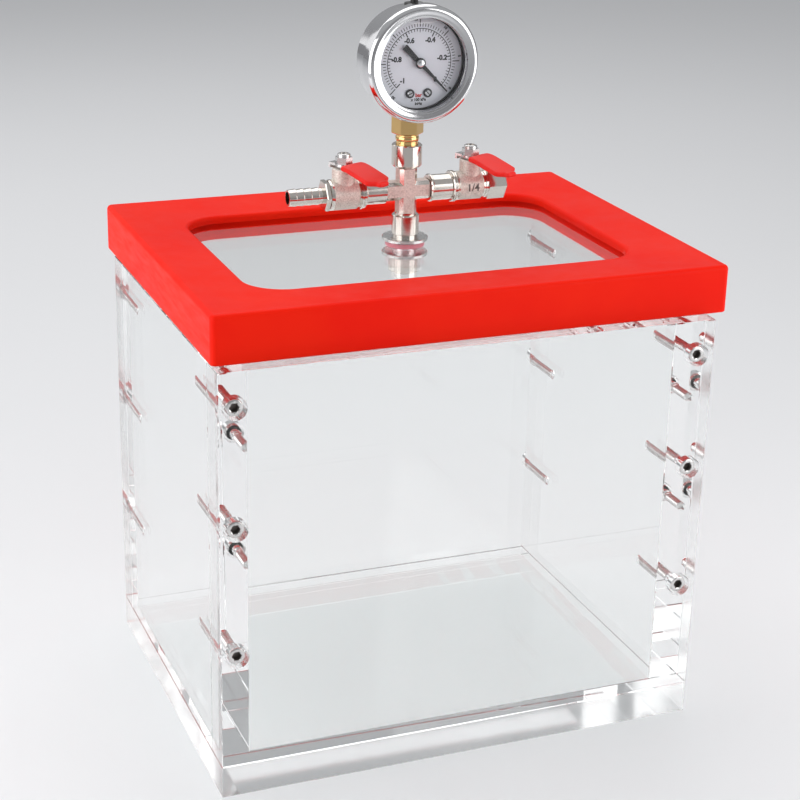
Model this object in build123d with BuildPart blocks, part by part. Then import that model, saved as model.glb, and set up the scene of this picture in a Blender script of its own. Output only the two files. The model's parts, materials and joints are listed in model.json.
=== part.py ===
from build123d import *
from math import acos, asin, atan2, cos, degrees, pi, radians, sin, sqrt
import os

os.makedirs("parts", exist_ok=True)

# A vacuum chamber: an open acrylic box, and a loose lid that carries a cross of pipe
# fittings with a hose valve, a vent valve and a vacuum gauge.
# Millimetres. The origin is the centre of the box's underside, +Z is up, and the gauge
# faces -Y.

# ---- Driving dimensions: the box
box_width = 300.0
box_depth = 230.0
box_height = 258.0
plate_thickness = 20.0
edge_break = 0.5

# ---- Corner screws: M6 socket heads, sunk in the front and back walls
screw_diameter = 6.0
screw_length = 40.0
screw_head_diameter = 10.0
screw_head_height = 6.0
socket_size = 5.0
socket_depth = 3.0
counterbore_diameter = 13.3
counterbore_depth = 8.0
clearance_bore = 7.0
tap_runout = 2.0
screw_drops = (21.0, 92.0, 169.5)  # each screw's distance below the rim

# ---- Lid: a clear plate held in a moulded rubber channel, lying a little off centre
lid_shift_x = 6.5
lid_shift_y = 15.0
lid_width = box_width
lid_trim = 4.0  # how much shallower the lid is than the box
lid_thickness = 15.0
lid_corner = 3.0
gasket_lip = 6.5
gasket_foot = 6.5
gasket_top = 7.0
gasket_fall = 2.2  # the top face slopes down to the window by this
gasket_corner = 3.5
gasket_round = 2.6
foot_round = 1.0
flange_side = 37.0
flange_front = 41.0
window_corner = 24.0

# ---- Threads and fits
thread_diameter = 13.2  # G1/4
thread_gap = 0.05
end_gap = 0.4
flow_bore = 7.0
lid_hole_play = 1.0
spigot_diameter = 9.7
spigot_length = 6.5

# ---- The stack through the lid
seal_diameter = 24.0
seal_height = 3.7
seal_bevel = 0.6
washer_diameter = 28.0
washer_thickness = 2.0
washer_bevel = 0.3
lower_nut_size = 18.0
lower_nut_height = 10.0
nipple_overhang = 1.5
coupling_collar_diameter = 15.0
coupling_collar_height = 1.8
lower_coupling_diameter = 16.5
lower_coupling_length = 12.0
coupling_neck_diameter = 13.0
coupling_neck_length = 1.5
coupling_bevel = 0.6

# ---- The cross and the coupling above it
cross_reach = 13.5
cross_bar = 11.0
cross_chamfer = 2.0
upper_gap = 1.0
upper_coupling_diameter = 18.3
upper_coupling_length = 13.5

# ---- The two couplings beside the cross
hose_gap = 0.5
hose_coupling_diameter = 15.0
hose_coupling_length = 13.5
vent_gap = 0.4
vent_ring_diameter = 16.8
vent_ring_length = 2.0
vent_coupling_diameter = 15.7
vent_coupling_length = 12.1
vent_disc_diameter = 19.0
vent_disc_length = 3.0

# ---- Valve bodies, measured along the pipe from the cross
hose_collar_diameter = 19.5
hose_collar_length = 4.5
hose_groove_offset = 1.8
groove_width = 0.5
hose_body_diameter = 18.6
hose_body_length = 18.0
hose_stem_offset = 12.5  # from the body's inner end to the stem
hose_boss_diameter = 14.0
vent_body_diameter = 17.6
vent_body_length = 17.3
vent_stem_offset = 10.5
vent_boss_diameter = 12.8
vent_collar_length = 2.9
vent_hex_size = 17.0
vent_hex_length = 11.7
vent_port_depth = 10.0
barb_hex_size = 17.0
barb_hex_length = 2.6
barb_gap = 0.5
barb_root_diameter = 9.6
barb_ridge_diameter = 10.4
barb_ridges = 4
barb_ridge_pitch = 4.7
barb_neck_length = 3.1
barb_bore = 7.6

# ---- Valve insides
ball_diameter = 11.0
ball_bore = 6.5
seat_gap = 0.05
seat_bore = 6.9
seat_length = 3.0
stem_diameter = 5.0
stem_gap = 0.05
stem_flat = 4.0
tang_width = 2.0
tang_depth = 1.8
shoulder_diameter = 7.0
shoulder_height = 1.6
packing_diameter = 8.0
packing_height = 4.0
boss_rise = 16.0  # from the pipe's axis to the boss's top

# ---- Levers: a steel strip in a dipped vinyl grip, shown part way between shut and open
lever_angle = -64.0  # from +X towards -Y
lever_lift = 1.2
lever_strip = 1.5
lever_hub_diameter = 10.4
lever_neck_width = 7.0
lever_tail = 8.4
lever_tab = 2.6
grip_start = 5.4
grip_length = 33.5
grip_thickness = 3.0
grip_width = 19.2
grip_tongue_width = 8.0
grip_widest = 27.5
grip_crown_run = 4.6  # where the blade starts to sweep down
grip_crown_drop = 0.3
grip_bend_run = 19.0  # half way down its sweep
grip_bend_drop = 2.75
grip_drop = 5.35
grip_end_slope = -0.1
grip_shoulder = 2.0
grip_round = 1.9
strip_inset = 2.5
lever_nut_size = 9.2
lever_nut_turn = 30.0  # lays a flat along the lever
lever_nut_hex = 4.0
lever_nut_collar = 2.1
lever_nut_collar_diameter = 8.0
stem_recess = 0.9

# ---- Gauge, measured back from the bezel's front face
gauge_thread_shown = 6.4
gauge_groove = 1.2
gauge_bore = 2.8
gauge_hex_size = 16.6
gauge_hex_height = 13.4
gauge_hex_turn = -16.0
case_diameter = 62.8
case_wall = 1.2
case_round = 2.5
case_flange_reach = 1.6  # how far the flange stands out from the case
case_flange_thickness = 1.5
stem_to_back = 6.0  # from the stem's axis to the case's back
gauge_depth = 30.7
bezel_opening = 54.4
bezel_face = 1.2
bezel_skirt = 1.45
bezel_depth = 10.0
bezel_dish = 2.2
bezel_lip = 4.2
bezel_crown_inset = 1.3
bezel_crown_depth = 1.0
bezel_bead_depth = 3.6
glass_margin = 1.5  # from the glass's edge to the flange's
glass_thickness = 2.0
glass_seal_width = 2.5
glass_seal_thickness = 1.4
dial_setback = 9.0
dial_margin = 1.2
dial_thickness = 0.8
dial_screw_spacing = 11.0
dial_screw_drop = 17.75
dial_screw_head = 5.3
dial_screw_head_height = 1.1
dial_screw_diameter = 2.4
dial_screw_length = 6.4
dial_post_diameter = 4.2
pointer_rise = 1.4  # from the dial's face to the pointer
pointer_length = 22.0
pointer_tail = 14.0
pointer_tail_width = 3.6
pointer_root_width = 2.6
pointer_tip_width = 0.7
pointer_thickness = 0.5
pointer_cap_diameter = 6.0
pointer_cap_height = 0.9
pointer_start = -45.0  # from +X, counterclockwise as the dial is read
pointer_travel = 270.0
plug_diameter = 11.5
plug_brim = 1.6
plug_post_diameter = 4.4
plug_height = 7.0
plug_spigot_diameter = 7.0
plug_spigot_length = 3.0
plug_to_back = 12.0

# ---- Gauge movement
gear_module = 0.25
pinion_teeth = 10
gear_ratio = 8
tooth_depth_down = 1.2 * gear_module
tooth_depth_up = 0.8 * gear_module
tooth_root_width = 0.165  # half of the tooth, at its root and its tip
tooth_tip_width = 0.063
sector_first_tooth = -2
sector_last_tooth = 9
sector_thickness = 1.0
pinion_thickness = 2.0
spindle_diameter = 1.6
pivot_diameter = 1.8
pivot_gap = 0.05
movement_plate_thickness = 1.2
movement_gap = 4.4
movement_setback = 13.6  # from the bezel's front to the front plate
movement_width = 11.0
movement_reach_up = 5.0
movement_reach_down = 15.4
pillar_diameter = 2.6
pillar_margin = 0.2
tail_length = 4.0
link_thickness = 0.8
link_width = 2.2
link_play = 0.3
tube_radius = 21.0
tube_width = 8.0
tube_thickness = 3.6
tube_wall = 0.5
tip_plug_width = 4.6
tube_from = -64.0
tube_to = 212.0
block_depth = 8.6
block_left = 7.0
block_right = 12.0
block_bottom = 25.0
block_top = 13.0
block_neck_diameter = 9.0
neck_gap = 0.2


# A cylinder or box standing on its plane, and one hanging under it.
standing = (Align.CENTER, Align.CENTER, Align.MIN)
hanging = (Align.CENTER, Align.CENTER, Align.MAX)


def save(piece, name):
    piece.part.label = name
    export_step(piece.part, f"parts/{name}.step")


# =====================================================================================
# Box
# =====================================================================================
wall_height = box_height - plate_thickness
wall_middle = plate_thickness + wall_height / 2
front_face = Plane.front.offset(box_depth / 2)
back_face = Plane.back.offset(box_depth / 2)
side_wall_x = box_width / 2 - plate_thickness / 2
side_wall_length = box_depth - 2 * plate_thickness
screw_levels = [box_height - drop for drop in screw_drops]
screw_seats = [(x, z) for x in (-side_wall_x, side_wall_x) for z in screw_levels]
tapped_depth = screw_length + counterbore_depth - plate_thickness + tap_runout

with BuildPart() as base_plate:
    Box(box_width, box_depth, plate_thickness, align=standing)
    chamfer(base_plate.edges(), edge_break)
save(base_plate, "base_plate")


def make_end_wall(name, face):
    # A front or back wall covers the side walls' ends and is drilled for their screws.
    with BuildPart(face) as wall:
        with BuildSketch(face):
            with Locations((0, wall_middle)):
                Rectangle(box_width, wall_height)
        extrude(amount=-plate_thickness)
        chamfer(wall.edges(), edge_break)
        with Locations(*screw_seats):
            CounterBoreHole(clearance_bore / 2, counterbore_diameter / 2, counterbore_depth)
    save(wall, name)


def make_side_wall(name, x):
    # A side wall stands between the end walls, with tapped holes in both of its ends.
    with BuildPart() as wall:
        with Locations((x, 0, wall_middle)):
            Box(plate_thickness, side_wall_length, wall_height)
        chamfer(wall.edges(), edge_break)
        for face, outward in ((front_face, x), (back_face, -x)):
            with Locations(face.offset(-plate_thickness)):
                with Locations(*[(outward, z) for z in screw_levels]):
                    Hole(screw_diameter / 2 + thread_gap, depth=tapped_depth)
    save(wall, name)


def make_screws(name, face, x):
    # The three socket-head screws of one corner.
    seats = [(x, z) for z in screw_levels]
    seat_plane = face.offset(-counterbore_depth)
    with BuildPart() as screws:
        with BuildSketch(seat_plane):
            with Locations(*seats):
                Circle(screw_head_diameter / 2)
        extrude(amount=screw_head_height)
        with BuildSketch(seat_plane):
            with Locations(*seats):
                Circle(screw_diameter / 2)
        extrude(amount=-screw_length)
        chamfer(screws.edges().filter_by(GeomType.CIRCLE).group_by(Axis.Y)[0], edge_break)
        chamfer(screws.edges().filter_by(GeomType.CIRCLE).group_by(Axis.Y)[-1], edge_break)
        with BuildSketch(seat_plane.offset(screw_head_height)):
            with Locations(*seats):
                RegularPolygon(socket_size / 2, 6, major_radius=False)
        extrude(amount=-socket_depth, mode=Mode.SUBTRACT)
    save(screws, name)


make_end_wall("front_wall", front_face)
make_end_wall("back_wall", back_face)
make_side_wall("left_wall", -side_wall_x)
make_side_wall("right_wall", side_wall_x)
make_screws("front_left_screws", front_face, -side_wall_x)
make_screws("front_right_screws", front_face, side_wall_x)
make_screws("back_left_screws", back_face, side_wall_x)
make_screws("back_right_screws", back_face, -side_wall_x)

# =====================================================================================
# Lid
# =====================================================================================
lid_depth = box_depth - lid_trim
lid_centre = (lid_shift_x, lid_shift_y)
lid_bottom = box_height + gasket_foot
lid_top = lid_bottom + lid_thickness
gasket_height = gasket_foot + lid_thickness + gasket_top
gasket_width = lid_width + 2 * gasket_lip
gasket_depth = lid_depth + 2 * gasket_lip
window_width = gasket_width - 2 * flange_side
window_depth = gasket_depth - 2 * flange_front
window_edge = box_height + gasket_height - gasket_fall

with BuildPart() as gasket_frame:
    with BuildSketch(Plane.XY.offset(box_height)):
        with Locations(lid_centre):
            RectangleRounded(gasket_width, gasket_depth, gasket_corner)
    extrude(amount=gasket_height)
    fillet(gasket_frame.edges().group_by(Axis.Z)[-1], gasket_round)
    fillet(gasket_frame.edges().group_by(Axis.Z)[0], foot_round)
    # The top face falls towards the window.
    with BuildSketch(Plane.XY.offset(window_edge)):
        with Locations(lid_centre):
            RectangleRounded(window_width, window_depth, window_corner)
    with BuildSketch(Plane.XY.offset(box_height + gasket_height)):
        with Locations(lid_centre):
            RectangleRounded(
                gasket_width - 2 * gasket_round,
                gasket_depth - 2 * gasket_round,
                gasket_corner - gasket_round,
            )
    loft(ruled=True, mode=Mode.SUBTRACT)
    with BuildSketch(Plane.XY.offset(box_height)):
        with Locations(lid_centre):
            RectangleRounded(window_width, window_depth, window_corner)
    extrude(amount=gasket_height, mode=Mode.SUBTRACT)
    edge_below = window_edge - edge_break
    edge_above = window_edge + edge_break
    inner_rim = gasket_frame.edges().filter_by_position(Axis.Z, edge_below, edge_above)
    fillet(inner_rim, gasket_round)
    # The groove that grips the lid plate.
    with BuildSketch(Plane.XY.offset(lid_bottom)):
        with Locations(lid_centre):
            RectangleRounded(lid_width, lid_depth, lid_corner)
    extrude(amount=lid_thickness, mode=Mode.SUBTRACT)
save(gasket_frame, "gasket_frame")

with BuildPart() as lid_plate:
    with BuildSketch(Plane.XY.offset(lid_bottom)):
        with Locations(lid_centre):
            RectangleRounded(lid_width, lid_depth, lid_corner)
            Circle((thread_diameter + lid_hole_play) / 2, mode=Mode.SUBTRACT)
    extrude(amount=lid_thickness)
save(lid_plate, "lid_plate")

# =====================================================================================
# Fittings: turned pieces are drawn as half sections (distance along the axis, radius)
# =====================================================================================
coupling_bottom = lid_top + seal_height + washer_thickness
lower_coupling_top = coupling_bottom + coupling_collar_height + lower_coupling_length
cross_z = lower_coupling_top + coupling_neck_length + cross_reach
cross_top = cross_z + cross_reach
upper_coupling_bottom = cross_top + upper_gap
upper_coupling_top = upper_coupling_bottom + upper_coupling_length
gauge_hex_bottom = upper_coupling_top + gauge_thread_shown
case_bottom = gauge_hex_bottom + gauge_hex_height
gauge_z = case_bottom + case_diameter / 2

bore_radius = flow_bore / 2
thread_radius = thread_diameter / 2
tapped_radius = thread_radius + thread_gap
spigot_radius = spigot_diameter / 2
socket_radius = spigot_radius + thread_gap
socket_length = spigot_length + end_gap

stack_axis = Plane(origin=(lid_shift_x, lid_shift_y, 0), x_dir=(0, 0, 1), z_dir=(0, 1, 0))
hose_axis = Plane(origin=(lid_shift_x, lid_shift_y, cross_z), x_dir=(-1, 0, 0), z_dir=(0, 1, 0))
vent_axis = Plane(origin=(lid_shift_x, lid_shift_y, cross_z), x_dir=(1, 0, 0), z_dir=(0, -1, 0))


def turn(plane, outline, mode=Mode.ADD):
    # Spins a half section round the plane's own x axis.
    with BuildSketch(plane) as half_section:
        with BuildLine():
            Polyline(*outline, close=True)
        make_face()
    revolve(half_section.sketch, axis=Axis(plane.origin, plane.x_dir), mode=mode)


def make_ring(name, outer, inner, bottom, height, break_size):
    with BuildPart() as ring:
        with BuildSketch(Plane.XY.offset(bottom)):
            with Locations(lid_centre):
                Circle(outer / 2)
                Circle(inner / 2, mode=Mode.SUBTRACT)
        extrude(amount=height)
        chamfer(ring.edges().group_by(SortBy.LENGTH)[-1], break_size)
    save(ring, name)


make_ring("seal_washer", seal_diameter, thread_diameter + lid_hole_play, lid_top, seal_height, seal_bevel)
make_ring(
    "upper_washer",
    washer_diameter,
    thread_diameter + lid_hole_play,
    lid_top + seal_height,
    washer_thickness,
    washer_bevel,
)
make_ring(
    "lower_washer",
    washer_diameter,
    thread_diameter + lid_hole_play,
    lid_bottom - washer_thickness,
    washer_thickness,
    washer_bevel,
)

lower_nut_top = lid_bottom - washer_thickness
lower_nut_bottom = lower_nut_top - lower_nut_height
nut_bevel = lower_nut_size * (1 / sqrt(3) - 1 / 2)
with BuildPart() as lower_nut:
    with BuildSketch(Plane.XY.offset(lower_nut_bottom)):
        with Locations(lid_centre):
            RegularPolygon(lower_nut_size / 2, 6, major_radius=False)
            Circle(tapped_radius, mode=Mode.SUBTRACT)
    extrude(amount=lower_nut_height)
    # Both ends of the hexagon are turned off at the corners.
    turn(
        stack_axis,
        [
            (lower_nut_bottom, 0),
            (lower_nut_bottom, lower_nut_size / 2),
            (lower_nut_bottom + nut_bevel / 2, lower_nut_size / 2 + nut_bevel),
            (lower_nut_top - nut_bevel / 2, lower_nut_size / 2 + nut_bevel),
            (lower_nut_top, lower_nut_size / 2),
            (lower_nut_top, 0),
        ],
        mode=Mode.INTERSECT,
    )
save(lower_nut, "lower_nut")

nipple_bottom = lower_nut_bottom - nipple_overhang
nipple_top = lower_coupling_top + coupling_neck_length - socket_length - end_gap
with BuildPart() as lid_nipple:
    turn(
        stack_axis,
        [
            (nipple_bottom, bore_radius),
            (nipple_bottom, thread_radius - edge_break),
            (nipple_bottom + edge_break, thread_radius),
            (nipple_top - edge_break, thread_radius),
            (nipple_top, thread_radius - edge_break),
            (nipple_top, bore_radius),
        ],
    )
save(lid_nipple, "lid_nipple")

with BuildPart() as lower_coupling:
    collar_top = coupling_bottom + coupling_collar_height
    neck_top = lower_coupling_top + coupling_neck_length
    turn(
        stack_axis,
        [
            (coupling_bottom, tapped_radius),
            (coupling_bottom, coupling_collar_diameter / 2),
            (collar_top, coupling_collar_diameter / 2),
            (collar_top, lower_coupling_diameter / 2 - coupling_bevel / 2),
            (collar_top + coupling_bevel / 2, lower_coupling_diameter / 2),
            (lower_coupling_top - coupling_bevel, lower_coupling_diameter / 2),
            (lower_coupling_top, lower_coupling_diameter / 2 - coupling_bevel),
            (lower_coupling_top, coupling_neck_diameter / 2),
            (neck_top, coupling_neck_diameter / 2),
            (neck_top, socket_radius),
            (nipple_top + end_gap, socket_radius),
            (nipple_top + end_gap, tapped_radius),
        ],
    )
save(lower_coupling, "lower_coupling")

with BuildPart() as cross_fitting:
    with BuildSketch(Plane.XY.offset(cross_z - cross_reach)):
        with Locations(lid_centre):
            upright = Rectangle(cross_bar, cross_bar)
        chamfer(upright.vertices(), cross_chamfer)
    extrude(amount=2 * cross_reach)
    with BuildSketch(Plane.YZ.offset(lid_shift_x - cross_reach)):
        with Locations((lid_shift_y, cross_z)):
            level = Rectangle(cross_bar, cross_bar)
        chamfer(level.vertices(), cross_chamfer)
    extrude(amount=2 * cross_reach)
    # A spigot at each end enters its coupling, and the bores meet in the middle.
    for direction in (Rotation(0, 0, 0), Rotation(0, 90, 0)):
        with Locations(Location((lid_shift_x, lid_shift_y, cross_z)) * direction):
            Cylinder(spigot_radius, 2 * (cross_reach + spigot_length))
            Cylinder(bore_radius, 2 * (cross_reach + spigot_length), mode=Mode.SUBTRACT)
    with Locations((lid_shift_x, lid_shift_y, cross_z)):
        Cylinder(bore_radius, 2 * (cross_reach + spigot_length), mode=Mode.SUBTRACT)
save(cross_fitting, "cross_fitting")

gauge_thread_bottom = upper_coupling_bottom - upper_gap + socket_length + end_gap
with BuildPart() as upper_coupling:
    outer = upper_coupling_diameter / 2
    turn(
        stack_axis,
        [
            (upper_coupling_bottom, socket_radius),
            (upper_coupling_bottom, outer - 2 * coupling_bevel),
            (upper_coupling_bottom + 2 * coupling_bevel, outer),
            (upper_coupling_top - coupling_bevel, outer),
            (upper_coupling_top, outer - coupling_bevel),
            (upper_coupling_top, tapped_radius),
            (gauge_thread_bottom - end_gap / 2, tapped_radius),
            (gauge_thread_bottom - end_gap / 2, socket_radius),
        ],
    )
save(upper_coupling, "upper_coupling")

# =====================================================================================
# Valves
# =====================================================================================
ball_radius = ball_diameter / 2
seat_reach = sqrt(ball_radius**2 - (seat_bore / 2) ** 2)
cavity_half = seat_reach + seat_length / 2
cavity_radius = ball_radius + end_gap
valve_spigot = hose_coupling_length - (spigot_length - hose_gap) - 2 * end_gap

hose_coupling_start = cross_reach + hose_gap
hose_body_start = hose_coupling_start + hose_coupling_length
hose_stem = hose_body_start + hose_stem_offset
hose_body_end = hose_body_start + hose_collar_length + hose_body_length
barb_start = hose_body_end + barb_gap

vent_coupling_start = cross_reach + vent_gap
vent_disc_start = vent_coupling_start + vent_ring_length + vent_coupling_length
vent_body_start = vent_disc_start + vent_disc_length
vent_stem = vent_body_start + vent_stem_offset
vent_collar_start = vent_body_start + vent_body_length
vent_hex_start = vent_collar_start + vent_collar_length
vent_end = vent_hex_start + vent_hex_length

with BuildPart() as hose_coupling:
    outer = hose_coupling_diameter / 2
    turn(
        hose_axis,
        [
            (hose_coupling_start, socket_radius),
            (hose_coupling_start, outer - coupling_bevel),
            (hose_coupling_start + coupling_bevel, outer),
            (hose_body_start - coupling_bevel, outer),
            (hose_body_start, outer - coupling_bevel),
            (hose_body_start, socket_radius),
        ],
    )
save(hose_coupling, "hose_coupling")


def bore_valve(plane, stem_at, opening):
    # The ball's chamber, and the stem's bore with its shoulder recess and packing seat.
    # The chamber is open on the side where the ball goes in: -1 inwards, 1 outwards.
    low = stem_at - cavity_half
    high = stem_at + cavity_half
    if opening < 0:
        low = stem_at - vent_stem_offset
    else:
        high = hose_body_end
    turn(plane, [(low, 0), (low, cavity_radius), (high, cavity_radius), (high, 0)], Mode.SUBTRACT)
    foot = plane.from_local_coords(Vector(stem_at, 0, 0))
    with Locations(foot):
        Cylinder(
            shoulder_diameter / 2 + end_gap / 2,
            shoulder_bottom + shoulder_height + stem_gap - cross_z,
            align=standing,
            mode=Mode.SUBTRACT,
        )
        Cylinder(
            stem_diameter / 2 + stem_gap,
            boss_rise,
            align=standing,
            mode=Mode.SUBTRACT,
        )
    with Locations(foot + Vector(0, 0, boss_rise)):
        Cylinder(
            packing_diameter / 2,
            packing_height,
            align=hanging,
            mode=Mode.SUBTRACT,
        )


shoulder_bottom = cross_z + ball_radius + end_gap
boss_top = cross_z + boss_rise

with BuildPart() as hose_valve_body:
    body = hose_body_diameter / 2
    collar = hose_collar_diameter / 2
    collar_end = hose_body_start + hose_collar_length
    collar_groove = hose_body_start + hose_groove_offset
    turn(
        hose_axis,
        [
            (hose_body_start - valve_spigot, 0),
            (hose_body_start - valve_spigot, spigot_radius),
            (hose_body_start, spigot_radius),
            (hose_body_start, collar - 2 * edge_break),
            (hose_body_start + edge_break, collar - edge_break),
            (collar_groove, collar - edge_break),
            (collar_groove, collar - 2 * edge_break),
            (collar_groove + groove_width, collar - 2 * edge_break),
            (collar_groove + groove_width, collar),
            (collar_end - 2 * edge_break, collar),
            (collar_end - 2 * edge_break, body - 2 * edge_break),
            (collar_end, body - 2 * edge_break),
            (collar_end + 2 * edge_break, body),
            (hose_body_end - 2 * edge_break, body),
            (hose_body_end, body - edge_break),
            (hose_body_end, 0),
        ],
    )
    with Locations(hose_axis.from_local_coords(Vector(hose_stem, 0, 0))):
        Cylinder(hose_boss_diameter / 2, boss_rise, align=standing)
    chamfer(hose_valve_body.edges().group_by(Axis.Z)[-1], edge_break)
    bore_valve(hose_axis, hose_stem, 1)
    with BuildSketch(Plane.YZ.offset(lid_shift_x - hose_stem)):
        with Locations((lid_shift_y, cross_z)):
            Circle(bore_radius)
    extrude(amount=hose_stem - hose_body_start + valve_spigot, mode=Mode.SUBTRACT)
save(hose_valve_body, "hose_valve_body")

with BuildPart() as vent_coupling:
    ring = vent_ring_diameter / 2
    sleeve = vent_coupling_diameter / 2
    disc = vent_disc_diameter / 2
    ring_end = vent_coupling_start + vent_ring_length
    disc_groove = vent_disc_start + (vent_disc_length - groove_width) / 2
    seat_face = vent_stem - cavity_half
    turn(
        vent_axis,
        [
            (vent_coupling_start, socket_radius),
            (vent_coupling_start, ring - coupling_bevel),
            (vent_coupling_start + coupling_bevel, ring),
            (ring_end - coupling_bevel, ring),
            (ring_end, sleeve),
            (vent_disc_start, sleeve),
            (vent_disc_start, disc - edge_break),
            (vent_disc_start + edge_break, disc),
            (disc_groove, disc),
            (disc_groove, disc - edge_break),
            (disc_groove + groove_width, disc - edge_break),
            (disc_groove + groove_width, disc),
            (vent_body_start - edge_break, disc),
            (vent_body_start, disc - edge_break),
            (vent_body_start, cavity_radius - thread_gap),
            (seat_face, cavity_radius - thread_gap),
            (seat_face, bore_radius),
            (cross_reach + socket_length, bore_radius),
            (cross_reach + socket_length, socket_radius),
        ],
    )
save(vent_coupling, "vent_coupling")

with BuildPart() as vent_valve_body:
    body = vent_body_diameter / 2
    waist = body - 2 * edge_break
    turn(
        vent_axis,
        [
            (vent_body_start, 0),
            (vent_body_start, waist),
            (vent_body_start + 2 * edge_break, body),
            (vent_collar_start - 2 * edge_break, body),
            (vent_collar_start, waist),
            (vent_collar_start + vent_collar_length / 2, waist),
            (vent_collar_start + vent_collar_length / 2, body - edge_break),
            (vent_hex_start, body - edge_break),
            (vent_hex_start, 0),
        ],
    )
    with BuildSketch(Plane.YZ.offset(lid_shift_x + vent_hex_start)):
        with Locations((lid_shift_y, cross_z)):
            RegularPolygon(vent_hex_size / 2, 6, major_radius=False)
    hexagon = extrude(amount=vent_hex_length)
    chamfer(hexagon.faces().sort_by(Axis.X)[-1].edges(), edge_break)
    with Locations(vent_axis.from_local_coords(Vector(vent_stem, 0, 0))):
        Cylinder(vent_boss_diameter / 2, boss_rise, align=standing)
    chamfer(vent_valve_body.edges().group_by(Axis.Z)[-1], edge_break)
    bore_valve(vent_axis, vent_stem, -1)
    turn(
        vent_axis,
        [
            (vent_stem, 0),
            (vent_stem, bore_radius),
            (vent_end - vent_port_depth, bore_radius),
            (vent_end - vent_port_depth, thread_radius),
            (vent_end, thread_radius),
            (vent_end, 0),
        ],
        mode=Mode.SUBTRACT,
    )
save(vent_valve_body, "vent_valve_body")

ridges_start = barb_start + barb_hex_length + barb_neck_length
with BuildPart() as hose_barb:
    seat_face = hose_stem + cavity_half
    root = barb_root_diameter / 2
    ridge = barb_ridge_diameter / 2
    outline = [
        (seat_face, barb_bore / 2),
        (seat_face, cavity_radius - thread_gap),
        (barb_start, cavity_radius - thread_gap),
        (barb_start + barb_hex_length, cavity_radius - thread_gap),
        (barb_start + barb_hex_length, root),
        (ridges_start, root),
    ]
    # Each ridge rises steeply on the valve's side and eases the hose on from the tip.
    for turn_number in range(barb_ridges):
        start = ridges_start + turn_number * barb_ridge_pitch
        outline.append((start, ridge))
        outline.append((start + barb_ridge_pitch, root))
    outline.append((ridges_start + barb_ridges * barb_ridge_pitch, barb_bore / 2))
    turn(hose_axis, outline)
    with BuildSketch(Plane.YZ.offset(lid_shift_x - barb_start)):
        with Locations((lid_shift_y, cross_z)):
            RegularPolygon(barb_hex_size / 2, 6, major_radius=False)
            Circle(barb_bore / 2, mode=Mode.SUBTRACT)
    hexagon = extrude(amount=-barb_hex_length)
    chamfer(hexagon.faces().sort_by(Axis.X)[0].outer_wire().edges(), edge_break)
save(hose_barb, "hose_barb")


def lever_frame(plane, stem_at, height):
    # A frame on the stem's axis, with its x axis along the lever.
    foot = plane.from_local_coords(Vector(stem_at, 0, 0))
    along = Vector(cos(radians(lever_angle)), sin(radians(lever_angle)), 0)
    return Plane(origin=(foot.X, foot.Y, height), x_dir=along, z_dir=(0, 0, 1))


def lever_section(frame):
    # The upright plane through the lever: x along it, y up.
    return Plane(origin=frame.origin, x_dir=frame.x_dir, z_dir=frame.x_dir.cross(Vector(0, 0, 1)))


lever_bottom = boss_top + lever_lift
lever_middle = lever_bottom + lever_strip / 2
lever_top = lever_bottom + lever_strip
nut_top = lever_top + lever_nut_hex + lever_nut_collar
stem_top = nut_top - stem_recess


def blade_line(end):
    # The blade leaves the hub level, sweeps down and eases off at its end.
    Spline(
        (grip_start, 0),
        (grip_start + grip_crown_run, -grip_crown_drop),
        (grip_bend_run, -grip_bend_drop),
        (grip_widest, -grip_drop),
        (end, -grip_drop + (end - grip_widest) * grip_end_slope),
        tangents=((1, 0), (1, grip_end_slope)),
    )


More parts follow.
